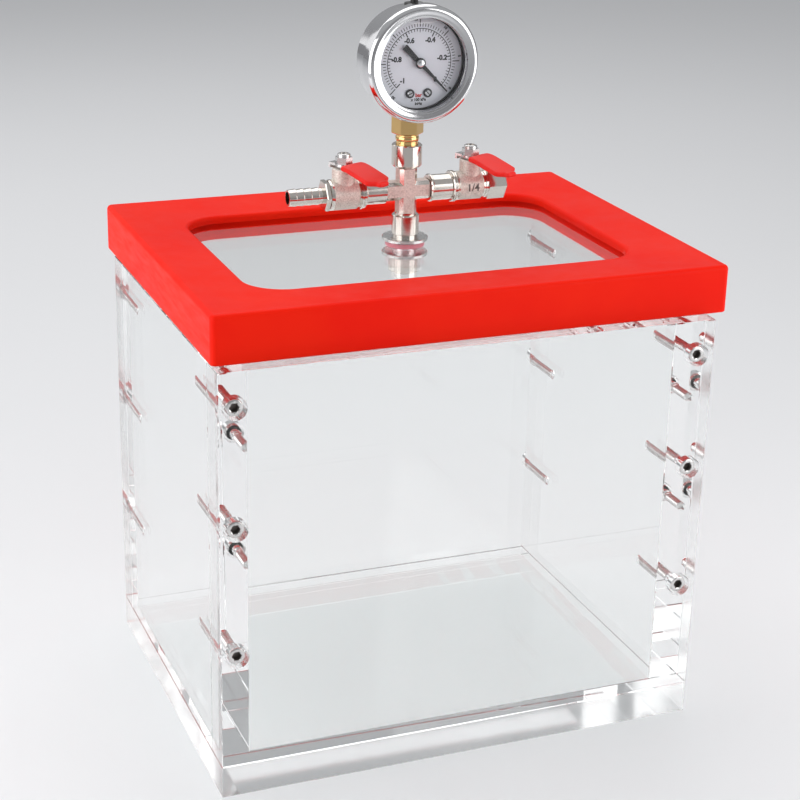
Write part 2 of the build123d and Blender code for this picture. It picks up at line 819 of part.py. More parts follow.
def make_valve_works(prefix, plane, stem_at):
    frame = lever_frame(plane, stem_at, cross_z)
    upright = lever_section(lever_frame(plane, stem_at, lever_middle))

    # The ball's bore runs along the lever, and its slot takes the stem's tang.
    with BuildPart(frame) as ball:
        Sphere(ball_radius)
        with Locations(Rotation(0, 90, 0)):
            Cylinder(ball_bore / 2, ball_diameter, mode=Mode.SUBTRACT)
        with Locations((0, 0, ball_radius - tang_depth)):
            Box(ball_diameter, tang_width, ball_diameter, align=standing, mode=Mode.SUBTRACT)
    save(ball, f"{prefix}_ball")

    # Each seat is a ring hollowed to the ball's curve.
    curve = ball_radius + seat_gap
    rim = cavity_radius - thread_gap
    near = cavity_half - seat_length
    lip = acos(near / curve)
    heel = asin(seat_bore / 2 / curve)
    with BuildPart() as seats:
        for side in (-1, 1):
            with BuildSketch(plane):
                with BuildLine():
                    rest = ThreePointArc(
                        (stem_at + side * curve * cos(heel), seat_bore / 2),
                        (stem_at + side * curve * cos((heel + lip) / 2), curve * sin((heel + lip) / 2)),
                        (stem_at + side * near, curve * sin(lip)),
                    )
                    Polyline(
                        rest @ 1,
                        (stem_at + side * near, rim),
                        (stem_at + side * cavity_half, rim),
                        (stem_at + side * cavity_half, seat_bore / 2),
                        rest @ 0,
                    )
                make_face()
            revolve(axis=Axis(plane.origin, plane.x_dir))
    save(seats, f"{prefix}_seats")

    with BuildPart(frame.offset(ball_radius - tang_depth + thread_gap)) as stem:
        tang_height = shoulder_bottom - cross_z - ball_radius + tang_depth - thread_gap
        Cylinder(stem_diameter / 2, tang_height, align=standing)
        Box(stem_diameter, tang_width - thread_gap, tang_height, align=standing, mode=Mode.INTERSECT)
        with Locations((0, 0, tang_height)):
            Cylinder(shoulder_diameter / 2, shoulder_height, align=standing)
            Cylinder(stem_diameter / 2, lever_bottom - shoulder_bottom, align=standing)
        with BuildSketch(frame.offset(lever_bottom - cross_z)):
            Circle(stem_diameter / 2)
            Rectangle(stem_diameter, stem_flat, mode=Mode.INTERSECT)
        extrude(amount=lever_strip)
        with BuildSketch(frame.offset(lever_top - cross_z)):
            Circle(stem_diameter / 2)
        extrude(amount=stem_top - lever_top)
    save(stem, f"{prefix}_stem")

    with BuildPart(frame.offset(boss_rise - packing_height)) as packing:
        Cylinder(packing_diameter / 2, packing_height, align=standing)
        Cylinder(stem_diameter / 2 + stem_gap, packing_height, align=standing, mode=Mode.SUBTRACT)
    save(packing, f"{prefix}_packing")

    # The steel strip: its side profile, cut to its plan.
    strip_end = grip_length - strip_inset
    with BuildPart() as strip:
        with BuildSketch(upright):
            with BuildLine():
                Polyline((-lever_tail, -lever_tab), (-lever_tail, 0), (grip_start, 0))
                blade_line(strip_end)
            trace(line_width=lever_strip)
        extrude(amount=grip_width, both=True)
        with BuildSketch(frame):
            Circle(lever_hub_diameter / 2)
            with Locations((strip_end / 2, 0)):
                Rectangle(strip_end, lever_neck_width)
            with Locations((-lever_tail / 2 - lever_strip, 0)):
                Rectangle(lever_tail, lever_neck_width)
        extrude(amount=2 * boss_rise, mode=Mode.INTERSECT)
        with BuildSketch(frame):
            Circle(stem_diameter / 2 + thread_gap)
            Rectangle(lever_hub_diameter, stem_flat + 2 * thread_gap, mode=Mode.INTERSECT)
        extrude(amount=2 * boss_rise, mode=Mode.SUBTRACT)
    save(strip, f"{prefix}_lever")

    # The vinyl grip: thicker and wider than the strip that it covers.
    with BuildPart() as grip:
        with BuildSketch(upright):
            with BuildLine():
                blade_line(grip_length)
            trace(line_width=grip_thickness)
        extrude(amount=grip_width, both=True)
        with BuildSketch(frame):
            with BuildLine():
                Polyline(
                    (grip_start, -grip_width / 2),
                    (grip_widest, -grip_width / 2),
                    (grip_widest + grip_shoulder, -grip_tongue_width / 2),
                    (grip_length, -grip_tongue_width / 2),
                    (grip_length, grip_tongue_width / 2),
                    (grip_widest + grip_shoulder, grip_tongue_width / 2),
                    (grip_widest, grip_width / 2),
                    (grip_start, grip_width / 2),
                    close=True,
                )
            blade = make_face()
            fillet(blade.vertices(), grip_round)
        extrude(amount=2 * boss_rise, mode=Mode.INTERSECT)
        add(strip.part, mode=Mode.SUBTRACT)
    save(grip, f"{prefix}_grip")

    nut_seat = frame.offset(lever_top - cross_z)
    with BuildPart(nut_seat) as nut:
        with BuildSketch(nut_seat):
            RegularPolygon(lever_nut_size / 2, 6, major_radius=False, rotation=lever_nut_turn)
        extrude(amount=lever_nut_hex)
        with Locations((0, 0, lever_nut_hex)):
            Cylinder(lever_nut_collar_diameter / 2, lever_nut_collar, align=standing)
        fillet(nut.edges().group_by(Axis.Z)[-1], lever_nut_collar / 2)
        Cylinder(
            stem_diameter / 2 + thread_gap,
            lever_nut_hex + lever_nut_collar,
            align=standing,
            mode=Mode.SUBTRACT,
        )
    save(nut, f"{prefix}_nut")


make_valve_works("hose_valve", hose_axis, hose_stem)
make_valve_works("vent_valve", vent_axis, vent_stem)

# =====================================================================================
# Gauge: turned pieces are drawn as (distance along +Y, radius)
# =====================================================================================
gauge_front = lid_shift_y + stem_to_back - gauge_depth
case_back = gauge_front + gauge_depth
case_radius = case_diameter / 2
case_bore = case_radius - case_wall
flange_radius = case_radius + case_flange_reach
glass_radius = flange_radius - glass_margin
glass_seal_bore = glass_radius - glass_seal_width
bezel_bore = flange_radius + thread_gap
bezel_radius = bezel_bore + bezel_skirt
gauge_axis = Plane(origin=(lid_shift_x, 0, gauge_z), x_dir=(0, 1, 0), z_dir=(1, 0, 0))


def dial_plane(setback):
    # A plane facing the reader, this far behind the bezel's front face.
    return Plane(
        origin=(lid_shift_x, gauge_front + setback, gauge_z), x_dir=(1, 0, 0), z_dir=(0, -1, 0)
    )


glass_front = bezel_dish + bezel_face
glass_back = glass_front + glass_thickness
flange_front_face = glass_back + glass_seal_thickness
movement_back = movement_setback + 2 * movement_plate_thickness + movement_gap
neck_radius = block_neck_diameter / 2

with BuildPart() as gauge_bezel:
    opening = bezel_opening / 2
    hem_front = flange_front_face + case_flange_thickness
    with BuildSketch(gauge_axis):
        with BuildLine():
            lip = Line((gauge_front + bezel_dish, opening), (gauge_front, bezel_radius - bezel_lip))
            crown = (gauge_front + bezel_crown_depth, bezel_radius - bezel_crown_inset)
            bead = ThreePointArc(lip @ 1, crown, (gauge_front + bezel_bead_depth, bezel_radius))
            skirt = Line(bead @ 1, (gauge_front + bezel_depth, bezel_radius))
            # The hem folds in behind the case's flange.
            hem = Line(skirt @ 1, (gauge_front + bezel_depth, case_radius + thread_gap))
            fold = Line(hem @ 1, (gauge_front + hem_front, case_radius + thread_gap))
            seat = Line(fold @ 1, (gauge_front + hem_front, bezel_bore))
            inside = Line(seat @ 1, (gauge_front + glass_front, bezel_bore))
            back = Line(inside @ 1, (gauge_front + glass_front, opening))
            Line(back @ 1, lip @ 0)
        make_face()
    revolve(axis=Axis(gauge_axis.origin, gauge_axis.x_dir))
save(gauge_bezel, "gauge_bezel")

with BuildPart() as gauge_glass:
    with BuildSketch(dial_plane(glass_back)):
        Circle(glass_radius)
    extrude(amount=glass_thickness)
save(gauge_glass, "gauge_glass")

with BuildPart() as glass_seal:
    with BuildSketch(dial_plane(flange_front_face)):
        Circle(glass_radius)
        Circle(glass_seal_bore, mode=Mode.SUBTRACT)
    extrude(amount=glass_seal_thickness)
save(glass_seal, "glass_seal")

with BuildPart() as gauge_case:
    flange = gauge_front + flange_front_face
    flange_back = flange + case_flange_thickness
    turn(
        gauge_axis,
        [
            (flange, glass_seal_bore),
            (flange, flange_radius),
            (flange_back, flange_radius),
            (flange_back, case_radius),
            (case_back - case_round, case_radius),
            (case_back, case_radius - case_round),
            (case_back, 0),
            (case_back - case_wall, 0),
            (case_back - case_wall, case_bore - case_round),
            (case_back - case_wall - case_round, case_bore),
            (flange_back, case_bore),
            (flange_back, glass_seal_bore),
        ],
    )
    # The socket's neck comes in at the bottom and the filling hole is at the top.
    with Locations((lid_shift_x, lid_shift_y, gauge_z - case_radius)):
        Cylinder(neck_radius + neck_gap, 2 * (case_wall + case_round + neck_gap), mode=Mode.SUBTRACT)
    with Locations((lid_shift_x, case_back - plug_to_back, gauge_z + case_radius)):
        Cylinder(plug_spigot_diameter / 2, 4 * case_wall, mode=Mode.SUBTRACT)
save(gauge_case, "gauge_case")

with BuildPart(Plane((lid_shift_x, case_back - plug_to_back, gauge_z + case_radius))) as filling_plug:
    Cylinder(plug_diameter / 2, plug_brim, align=standing)
    with Locations((0, 0, plug_brim)):
        Cylinder(plug_post_diameter / 2, plug_height - plug_brim, align=standing)
    fillet(filling_plug.edges().group_by(Axis.Z)[-1], plug_post_diameter / 6)
    Cylinder(plug_spigot_diameter / 2, plug_spigot_length, align=hanging)
save(filling_plug, "filling_plug")

with BuildPart() as gauge_dial:
    with BuildSketch(dial_plane(dial_setback + dial_thickness)):
        Circle(case_bore - dial_margin)
        Circle(spindle_diameter, mode=Mode.SUBTRACT)
        with Locations((0, -dial_screw_drop)):
            with GridLocations(dial_screw_spacing, 0, 2, 1):
                Circle(dial_screw_diameter / 2 + thread_gap, mode=Mode.SUBTRACT)
    extrude(amount=dial_thickness)
save(gauge_dial, "gauge_dial")

post_length = movement_back - dial_setback - dial_thickness
with BuildPart(dial_plane(dial_setback)) as dial_screws:
    with Locations((0, -dial_screw_drop)):
        with GridLocations(dial_screw_spacing, 0, 2, 1):
            Cylinder(dial_screw_head / 2, dial_screw_head_height, align=standing)
            Cylinder(dial_screw_diameter / 2, dial_screw_length, align=hanging)
    fillet(dial_screws.edges().group_by(Axis.Y)[0], dial_screw_head_height / 3)
save(dial_screws, "dial_screws")


tube_setback = movement_back + block_depth / 2
tube_start = dial_plane(tube_setback).from_local_coords(
    Vector(tube_radius * cos(radians(tube_from)), tube_radius * sin(radians(tube_from)), 0)
)
tube_section = Plane(
    origin=tube_start,
    x_dir=(0, 1, 0),
    z_dir=(-sin(radians(tube_from)), 0, cos(radians(tube_from))),
)


def tube_sweep(width, thickness, mode):
    # The flattened tube, bent round the gauge's centre.
    with BuildSketch(tube_section) as section:
        SlotOverall(width, thickness)
    revolve(
        section.sketch,
        axis=Axis((lid_shift_x, 0, gauge_z), (0, -1, 0)),
        revolution_arc=tube_to - tube_from,
        mode=mode,
    )


tip_angle = radians(tube_to)
tip_x = tube_radius * cos(tip_angle)
tip_z = tube_radius * sin(tip_angle)
lug_front = movement_setback + movement_plate_thickness + link_play + link_thickness + link_play
with BuildPart() as bourdon_tube:
    tube_sweep(tube_width, tube_thickness, Mode.ADD)
    tube_sweep(tube_width - 2 * tube_wall, tube_thickness - 2 * tube_wall, Mode.SUBTRACT)
    # The tip is closed by a plug that carries the link's lug.
    with BuildSketch(dial_plane(tube_setback + tube_width / 2)):
        with Locations((tip_x, tip_z)):
            Rectangle(tip_plug_width, tube_thickness, rotation=tube_to)
    extrude(amount=tube_width)
    with BuildSketch(dial_plane(tube_setback)):
        with Locations((tip_x, tip_z)):
            Circle(link_width / 2)
    extrude(amount=tube_setback - lug_front)
save(bourdon_tube, "bourdon_tube")

with BuildPart() as gauge_socket:
    # The thread, with a relief groove under the hexagon.
    groove_top = gauge_hex_bottom - gauge_groove
    groove_bottom = groove_top - gauge_groove
    turn(
        stack_axis,
        [
            (gauge_thread_bottom, 0),
            (gauge_thread_bottom, thread_radius - edge_break),
            (gauge_thread_bottom + edge_break, thread_radius),
            (groove_bottom, thread_radius),
            (groove_bottom, thread_radius - edge_break),
            (groove_top, thread_radius - edge_break),
            (groove_top, thread_radius),
            (gauge_hex_bottom, thread_radius),
            (gauge_hex_bottom, 0),
        ],
    )
    with BuildSketch(Plane.XY.offset(gauge_hex_bottom)):
        with Locations(lid_centre):
            RegularPolygon(gauge_hex_size / 2, 6, major_radius=False, rotation=gauge_hex_turn)
    hexagon = extrude(amount=gauge_hex_height)
    chamfer(hexagon.faces().sort_by(Axis.Z)[0].edges(), edge_break)
    with Locations((lid_shift_x, lid_shift_y, case_bottom)):
        Cylinder(neck_radius, case_radius - block_bottom, align=standing)
    # The block inside the case holds the tube, the movement and the dial's screws.
    with BuildSketch(dial_plane(movement_back)):
        with Locations(((block_right - block_left) / 2, -(block_bottom + block_top) / 2)):
            Rectangle(block_left + block_right, block_bottom - block_top)
    extrude(amount=-block_depth)
    tube_sweep(tube_width, tube_thickness, Mode.SUBTRACT)
    with Locations(dial_plane(movement_back)):
        with Locations((0, -dial_screw_drop)):
            with GridLocations(dial_screw_spacing, 0, 2, 1):
                Cylinder(dial_post_diameter / 2, post_length, align=standing)
                with Locations((0, 0, post_length)):
                    Cylinder(
                        dial_screw_diameter / 2 + thread_gap,
                        dial_screw_length,
                        align=hanging,
                        mode=Mode.SUBTRACT,
                    )
    with Locations((lid_shift_x, lid_shift_y, gauge_thread_bottom)):
        Cylinder(
            gauge_bore / 2,
            case_bottom + case_radius - block_bottom + block_depth / 2 - gauge_thread_bottom,
            align=standing,
            mode=Mode.SUBTRACT,
        )
save(gauge_socket, "gauge_socket")

# ---- Movement: a sector gear turns the pointer's pinion between two plates
pinion_pitch = gear_module * pinion_teeth / 2
sector_pitch = pinion_pitch * gear_ratio
pivot_drop = pinion_pitch + sector_pitch
sector_teeth = pinion_teeth * gear_ratio
plates_front = dial_plane(movement_setback + movement_plate_thickness)
pillar_inset = pillar_diameter / 2 + pillar_margin
pillar_spots = [
    (-movement_width / 2 + pillar_inset, movement_reach_up - pillar_inset),
    (movement_width / 2 - pillar_inset, movement_reach_up - pillar_inset),
    (movement_width / 2 - pillar_inset, pillar_inset - movement_reach_down),
]


def gear_teeth(pitch_radius, count, first, span):
    # Plain straight-flanked teeth with working backlash, rooted below their root circle.
    with PolarLocations(pitch_radius, count, first, span, endpoint=span < 360):
        Polygon(
            (-2 * tooth_depth_down, -tooth_root_width),
            (-tooth_depth_down, -tooth_root_width),
            (tooth_depth_up, -tooth_tip_width),
            (tooth_depth_up, tooth_tip_width),
            (-tooth_depth_down, tooth_root_width),
            (-2 * tooth_depth_down, tooth_root_width),
            align=None,
        )


with BuildPart() as movement_plates:
    for setback in (movement_setback, movement_back - movement_plate_thickness):
        with BuildSketch(dial_plane(setback + movement_plate_thickness)):
            with Locations((0, (movement_reach_up - movement_reach_down) / 2)):
                Rectangle(movement_width, movement_reach_up + movement_reach_down)
            Circle(spindle_diameter / 2 + pivot_gap, mode=Mode.SUBTRACT)
            with Locations((0, -pivot_drop)):
                Circle(pivot_diameter / 2 + pivot_gap, mode=Mode.SUBTRACT)
        extrude(amount=movement_plate_thickness)
    with BuildSketch(dial_plane(movement_back - movement_plate_thickness)):
        with Locations(*pillar_spots):
            Circle(pillar_diameter / 2)
    extrude(amount=movement_gap)
save(movement_plates, "movement_plates")

gear_middle = movement_setback + movement_plate_thickness + movement_gap / 2
sector_front = gear_middle - sector_thickness / 2
link_front = movement_setback + movement_plate_thickness + link_play
swing = pointer_travel / gear_ratio
tail_angle = radians(-90 + swing / 2)
tail_pin_x = tail_length * cos(tail_angle)
tail_pin_z = tail_length * sin(tail_angle)


def pivot_plane(setback):
    # A plane facing the reader, centred on the sector's pivot.
    return Plane(
        origin=dial_plane(setback).from_local_coords(Vector(0, -pivot_drop, 0)),
        x_dir=(1, 0, 0),
        z_dir=(0, -1, 0),
    )


with BuildPart() as sector_gear:
    tooth_angle = 360 / (pinion_teeth * gear_ratio)
    first = 90 + tooth_angle * sector_first_tooth
    span = tooth_angle * (sector_last_tooth - sector_first_tooth)
    rim = sector_pitch - tooth_depth_down
    margin = tooth_angle / 2
    with BuildSketch(pivot_plane(sector_front + sector_thickness)):
        with BuildLine():
            arc = CenterArc((0, 0), rim, first - margin, span + 2 * margin)
            Line((0, 0), arc @ 0)
            Line((0, 0), arc @ 1)
        make_face()
        gear_teeth(sector_pitch, sector_last_tooth - sector_first_tooth + 1, first, span)
        Circle(pivot_diameter)
        with Locations((tail_pin_x / 2, tail_pin_z / 2)):
            SlotOverall(tail_length + link_width, link_width, rotation=-90 + swing / 2)
    extrude(amount=sector_thickness)
    with BuildSketch(pivot_plane(movement_back)):
        Circle(pivot_diameter / 2)
    extrude(amount=movement_back - movement_setback)
    with BuildSketch(pivot_plane(sector_front)):
        with Locations((tail_pin_x, tail_pin_z)):
            Circle(link_width / 4)
    extrude(amount=sector_front - link_front)
save(sector_gear, "sector_gear")

link_start = Vector(tail_pin_x, tail_pin_z - pivot_drop, 0)
link_end = Vector(tip_x, tip_z, 0)
link_vector = link_end - link_start
with BuildPart() as drive_link:
    with BuildSketch(dial_plane(link_front + link_thickness)):
        middle = (link_start + link_end) / 2
        with Locations((middle.X, middle.Y)):
            SlotCenterToCenter(
                link_vector.length, link_width, rotation=degrees(atan2(link_vector.Y, link_vector.X))
            )
        with Locations((link_start.X, link_start.Y)):
            Circle(link_width / 4 + pivot_gap, mode=Mode.SUBTRACT)
    extrude(amount=link_thickness)
save(drive_link, "drive_link")

with BuildPart() as pointer_spindle:
    with BuildSketch(dial_plane(movement_back)):
        Circle(spindle_diameter / 2)
    extrude(amount=movement_back - dial_setback + pointer_rise)
    with BuildSketch(dial_plane(gear_middle + pinion_thickness / 2)):
        Circle(pinion_pitch - tooth_depth_down)
        gear_teeth(pinion_pitch, pinion_teeth, -90 + 180 / pinion_teeth, 360)
    extrude(amount=pinion_thickness)
save(pointer_spindle, "pointer_spindle")

pointer_plane = Plane(
    origin=dial_plane(dial_setback - pointer_rise).origin,
    x_dir=(cos(radians(pointer_start)), 0, sin(radians(pointer_start))),
    z_dir=(0, -1, 0),
)
with BuildPart() as gauge_pointer:
    with BuildSketch(pointer_plane):
        with BuildLine():
            Polyline(
                (0, -pointer_root_width / 2),
                (pointer_length - pointer_tip_width, -pointer_tip_width / 2),
                (pointer_length, 0),
                (pointer_length - pointer_tip_width, pointer_tip_width / 2),
                (0, pointer_root_width / 2),
                close=True,
            )
        make_face()
        with Locations((-pointer_tail / 2, 0)):
            SlotOverall(pointer_tail, pointer_tail_width)
        Circle(pointer_cap_diameter / 2)
    extrude(amount=pointer_thickness)
    with BuildSketch(pointer_plane.offset(pointer_thickness)):
        Circle(pointer_cap_diameter / 2)
    extrude(amount=pointer_cap_height)
    cap_rim = gauge_pointer.edges().filter_by(GeomType.CIRCLE).group_by(Axis.Y)[0]
    fillet(cap_rim, pointer_cap_height / 2)
save(gauge_pointer, "gauge_pointer")
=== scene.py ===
import json
import math
import bmesh
import bpy
from mathutils import Matrix, Vector


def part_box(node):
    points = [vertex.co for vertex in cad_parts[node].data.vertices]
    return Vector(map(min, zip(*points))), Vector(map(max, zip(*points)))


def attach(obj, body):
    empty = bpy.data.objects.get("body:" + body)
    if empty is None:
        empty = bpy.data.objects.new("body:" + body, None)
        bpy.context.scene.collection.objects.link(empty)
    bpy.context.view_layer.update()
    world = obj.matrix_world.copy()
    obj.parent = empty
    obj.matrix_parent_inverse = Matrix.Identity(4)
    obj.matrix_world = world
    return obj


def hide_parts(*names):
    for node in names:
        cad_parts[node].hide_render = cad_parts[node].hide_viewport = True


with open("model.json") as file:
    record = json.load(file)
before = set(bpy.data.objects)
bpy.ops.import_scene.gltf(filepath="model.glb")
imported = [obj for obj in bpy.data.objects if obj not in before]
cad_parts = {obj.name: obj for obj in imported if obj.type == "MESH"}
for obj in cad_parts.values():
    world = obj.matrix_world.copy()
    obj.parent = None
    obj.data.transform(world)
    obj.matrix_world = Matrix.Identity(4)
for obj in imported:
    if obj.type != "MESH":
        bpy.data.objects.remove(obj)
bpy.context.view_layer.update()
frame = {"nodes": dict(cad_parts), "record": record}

mm = 0.001


# Shader building: a Wire is an output that takes part in sums, a Bench holds one material's nodes, or the sky's.
class Wire:
    def __init__(self, bench, socket):
        self.bench = bench
        self.socket = socket

    def reckon(self, operation, *values):
        return self.bench.node("ShaderNodeMath", {"operation": operation}, list(values))["Value"]

    def __add__(self, other):
        return self.reckon("ADD", self, other)

    def __radd__(self, other):
        return self.reckon("ADD", other, self)

    def __sub__(self, other):
        return self.reckon("SUBTRACT", self, other)

    def __rsub__(self, other):
        return self.reckon("SUBTRACT", other, self)

    def __mul__(self, other):
        return self.reckon("MULTIPLY", self, other)

    def __rmul__(self, other):
        return self.reckon("MULTIPLY", other, self)

    def __gt__(self, other):
        return self.reckon("GREATER_THAN", self, other)

    def __lt__(self, other):
        return self.reckon("LESS_THAN", self, other)

    def __abs__(self):
        return self.reckon("ABSOLUTE", self)


class Made:
    def __init__(self, bench, node):
        self.bench = bench
        self.node = node

    def __getitem__(self, name):
        return Wire(self.bench, self.node.outputs[name])


class Bench:
    def __init__(self, name, owner=None):
        self.owner = owner or bpy.data.materials.new(name)
        self.owner.use_nodes = True
        self.tree = self.owner.node_tree
        self.tree.nodes.clear()

    def node(self, kind, settings, sockets):
        made = self.tree.nodes.new(kind)
        for name, value in settings.items():
            if name == "stops":
                ramp = made.color_ramp
                while len(ramp.elements) < len(value):
                    ramp.elements.new(1.0)
                for element, (place, colour) in zip(ramp.elements, value):
                    element.position = place
                    element.color = colour
            else:
                setattr(made, name, value)
        pairs = sockets.items() if isinstance(sockets, dict) else enumerate(sockets)
        for name, value in pairs:
            if isinstance(value, Wire):
                self.tree.links.new(value.socket, made.inputs[name])
            else:
                made.inputs[name].default_value = value
        return Made(self, made)

    def place(self):
        return self.node("ShaderNodeTexCoord", {}, {})["Object"]

    def split(self, vector):
        return self.node("ShaderNodeSeparateXYZ", {}, [vector])

    def facing(self):
        return self.split(self.node("ShaderNodeNewGeometry", {}, {})["Normal"])

    def stretch(self, scale):
        return self.node("ShaderNodeMapping", {}, {"Vector": self.place(), "Scale": scale})["Vector"]

    def noise(self, scale, detail=3.0, roughness=0.55, vector=None):
        return self.node(
            "ShaderNodeTexNoise",
            {"noise_dimensions": "3D"},
            {"Vector": vector or self.place(), "Scale": scale, "Detail": detail, "Roughness": roughness},
        )["Fac"]

    def ease(self, value, low, high, toLow=0.0, toHigh=1.0):
        return self.node(
            "ShaderNodeMapRange",
            {"clamp": True},
            {"Value": value, "From Min": low, "From Max": high, "To Min": toLow, "To Max": toHigh},
        )["Result"]

    def blend(self, amount, first, second):
        # The colour mix's own sockets come after the ones for numbers and vectors.
        mixed = self.node("ShaderNodeMix", {"data_type": "RGBA"}, {0: amount, 6: first, 7: second})
        return Wire(self, mixed.node.outputs[2])

    def bump(self, height, distance, strength):
        sockets = {"Height": height, "Distance": distance, "Strength": strength}
        return self.node("ShaderNodeBump", {}, sockets)["Normal"]

    def surface(self, sockets):
        skin = self.node("ShaderNodeBsdfPrincipled", {}, sockets)
        self.node("ShaderNodeOutputMaterial", {}, {"Surface": skin["BSDF"]})
        return self.owner

    def clear(self, tint, sockets):
        # Clear goods bend what is seen through them and let the lamps' light pass.
        skin = self.node("ShaderNodeBsdfPrincipled", {}, sockets)
        passing = self.node("ShaderNodeBsdfTransparent", {}, {"Color": tint})
        ray = self.node("ShaderNodeLightPath", {}, {})
        both = self.node(
            "ShaderNodeMixShader", {}, {0: ray["Is Shadow Ray"], 1: skin["BSDF"], 2: passing["BSDF"]})
        self.node("ShaderNodeOutputMaterial", {}, {"Surface": both["Shader"]})
        return self.owner


def rgb(red, green, blue):
    return (red, green, blue, 1.0)


# Finishes
acrylic = {
    "tint": rgb(0.985, 0.995, 0.992), "ior": 1.49, "shade": rgb(0.93, 0.95, 0.95),
    "baseEdge": 19.9 * mm, "endX": 149.8 * mm, "endY": 95.2 * mm,  # the sawn edges lie below or past these
    "frost": 0.10, "frostSpread": 0.10, "frostGrain": 260.0,
}


def makeClearAcrylic():
    # The sawn outer edges are a little frosted; the faces are clear.
    bench = Bench("clearAcrylic")
    spot = bench.split(bench.place())
    baseEdge = (spot["Z"] < acrylic["baseEdge"]) * (abs(bench.facing()["Z"]) < 0.5)
    wallEnd = (abs(spot["X"]) > acrylic["endX"]) * (abs(spot["Y"]) > acrylic["endY"])
    sawn = bench.noise(acrylic["frostGrain"]) * acrylic["frostSpread"] + acrylic["frost"]
    return bench.clear(acrylic["shade"], {
        "Base Color": acrylic["tint"],
        "Roughness": (baseEdge + wallEnd - baseEdge * wallEnd) * sawn,
        "IOR": acrylic["ior"],
        "Transmission Weight": 1.0,
    })


windowGlass = {"tint": rgb(0.99, 0.995, 1.0), "ior": 1.25, "shade": rgb(0.96, 0.97, 0.97)}


def makeWindowGlass():
    bench = Bench("windowGlass")
    return bench.clear(windowGlass["shade"], {
        "Base Color": windowGlass["tint"],
        "Roughness": 0.0,
        "IOR": windowGlass["ior"],
        "Transmission Weight": 1.0,
    })


silicone = {
    "red": rgb(0.97, 0.016, 0.002), "deepRed": rgb(0.93, 0.010, 0.0015),
    "roughness": (0.36, 0.52), "specular": 0.09,
    "clouds": 14.0, "smears": 40.0, "smearStretch": (1.0, 1.0, 6.0), "grain": 900.0, "grainDepth": 0.00006,
    "glow": 0.05, "glowReach": (0.004, 0.0004, 0.0002),
}


def makeRedSilicone():
    bench = Bench("redSilicone")
    cloud = bench.noise(silicone["clouds"], 4.0)
    grain = bench.noise(silicone["grain"], 2.0)
    smear = bench.noise(silicone["smears"], vector=bench.stretch(silicone["smearStretch"]))
    return bench.surface({
        "Base Color": bench.blend(bench.ease(cloud, 0.35, 0.65), silicone["deepRed"], silicone["red"]),
        "Roughness": bench.ease(smear, 0.3, 0.7, *silicone["roughness"]),
        "Normal": bench.bump(grain * 0.6 + cloud * 0.4, silicone["grainDepth"], 0.5),
        "Specular IOR Level": silicone["specular"],
        "Subsurface Weight": silicone["glow"],
        "Subsurface Radius": silicone["glowReach"],
        "Subsurface Scale": 1.0,
    })


pinkWasher = {
    "pink": rgb(0.92, 0.36, 0.42), "deepPink": rgb(0.86, 0.24, 0.30), "roughness": (0.30, 0.42),
    "clouds": 300.0, "grainDepth": 0.00004, "glow": 0.3, "glowReach": (0.006, 0.002, 0.002),
}


def makePinkSilicone():
    bench = Bench("pinkSilicone")
    cloud = bench.noise(pinkWasher["clouds"])
    return bench.surface({
        "Base Color": bench.blend(cloud, pinkWasher["deepPink"], pinkWasher["pink"]),
        "Roughness": bench.ease(cloud, 0.3, 0.7, *pinkWasher["roughness"]),
        "Subsurface Weight": pinkWasher["glow"],
        "Subsurface Radius": pinkWasher["glowReach"],
        "Subsurface Scale": 1.0,
        "Normal": bench.bump(cloud, pinkWasher["grainDepth"], 0.4),
    })


metals = {
    # clean colour, tarnished colour, roughness
    "nickel": (rgb(0.70, 0.65, 0.60), rgb(0.56, 0.50, 0.45), (0.10, 0.20)),
    "screwSteel": (rgb(0.70, 0.69, 0.68), rgb(0.50, 0.49, 0.48), (0.16, 0.30)),
    "stainless": (rgb(0.66, 0.65, 0.64), rgb(0.54, 0.53, 0.52), (0.18, 0.32)),
    "gaugeSteel": (rgb(0.70, 0.70, 0.71), rgb(0.60, 0.60, 0.61), (0.05, 0.13)),
    "brass": (rgb(0.78, 0.52, 0.22), rgb(0.58, 0.35, 0.13), (0.12, 0.24)),
}
metalWear = {
    "tarnish": 160.0, "tarnished": (0.62, 0.78), "handling": 45.0,
    "turning": 500.0, "turningStretch": (1.0, 1.0, 7.0), "turningDepth": 0.00001,
}


def makeMetal(name):
    light, dark, roughness = metals[name]
    bench = Bench(name)
    tarnish = bench.noise(metalWear["tarnish"], 5.0, 0.6)
    handling = bench.noise(metalWear["handling"], 4.0, 0.6)
    turned = bench.noise(metalWear["turning"], 2.0, vector=bench.stretch(metalWear["turningStretch"]))
    return bench.surface({
        "Base Color": bench.blend(bench.ease(tarnish, *metalWear["tarnished"]), light, dark),
        "Metallic": 1.0,
        "Roughness": bench.ease(handling * 0.7 + turned * 0.3, 0.35, 0.65, *roughness),
        "Normal": bench.bump(turned, metalWear["turningDepth"], 0.35),
    })


# Cast skin: dull, warm and speckled where nothing has been machined or polished.
castSkin = {
    "polished": rgb(0.74, 0.69, 0.64), "polishedRoughness": 0.14, "metallic": 0.40, "roughness": 0.24,
    "speckle": 1300.0, "clouds": 180.0, "contrast": (0.36, 0.62), "depth": 0.00009,
    "square": 0.8,  # the sum of a normal's fourth powers is above this where a face lies square
    "bodyFrom": 32.2 * mm, "bodyTo": 48.0 * mm,  # the valves' rough middles, from the cross's axis
}
crossLow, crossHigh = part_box("cross_fitting")
crossCentre = (crossLow + crossHigh) / 2


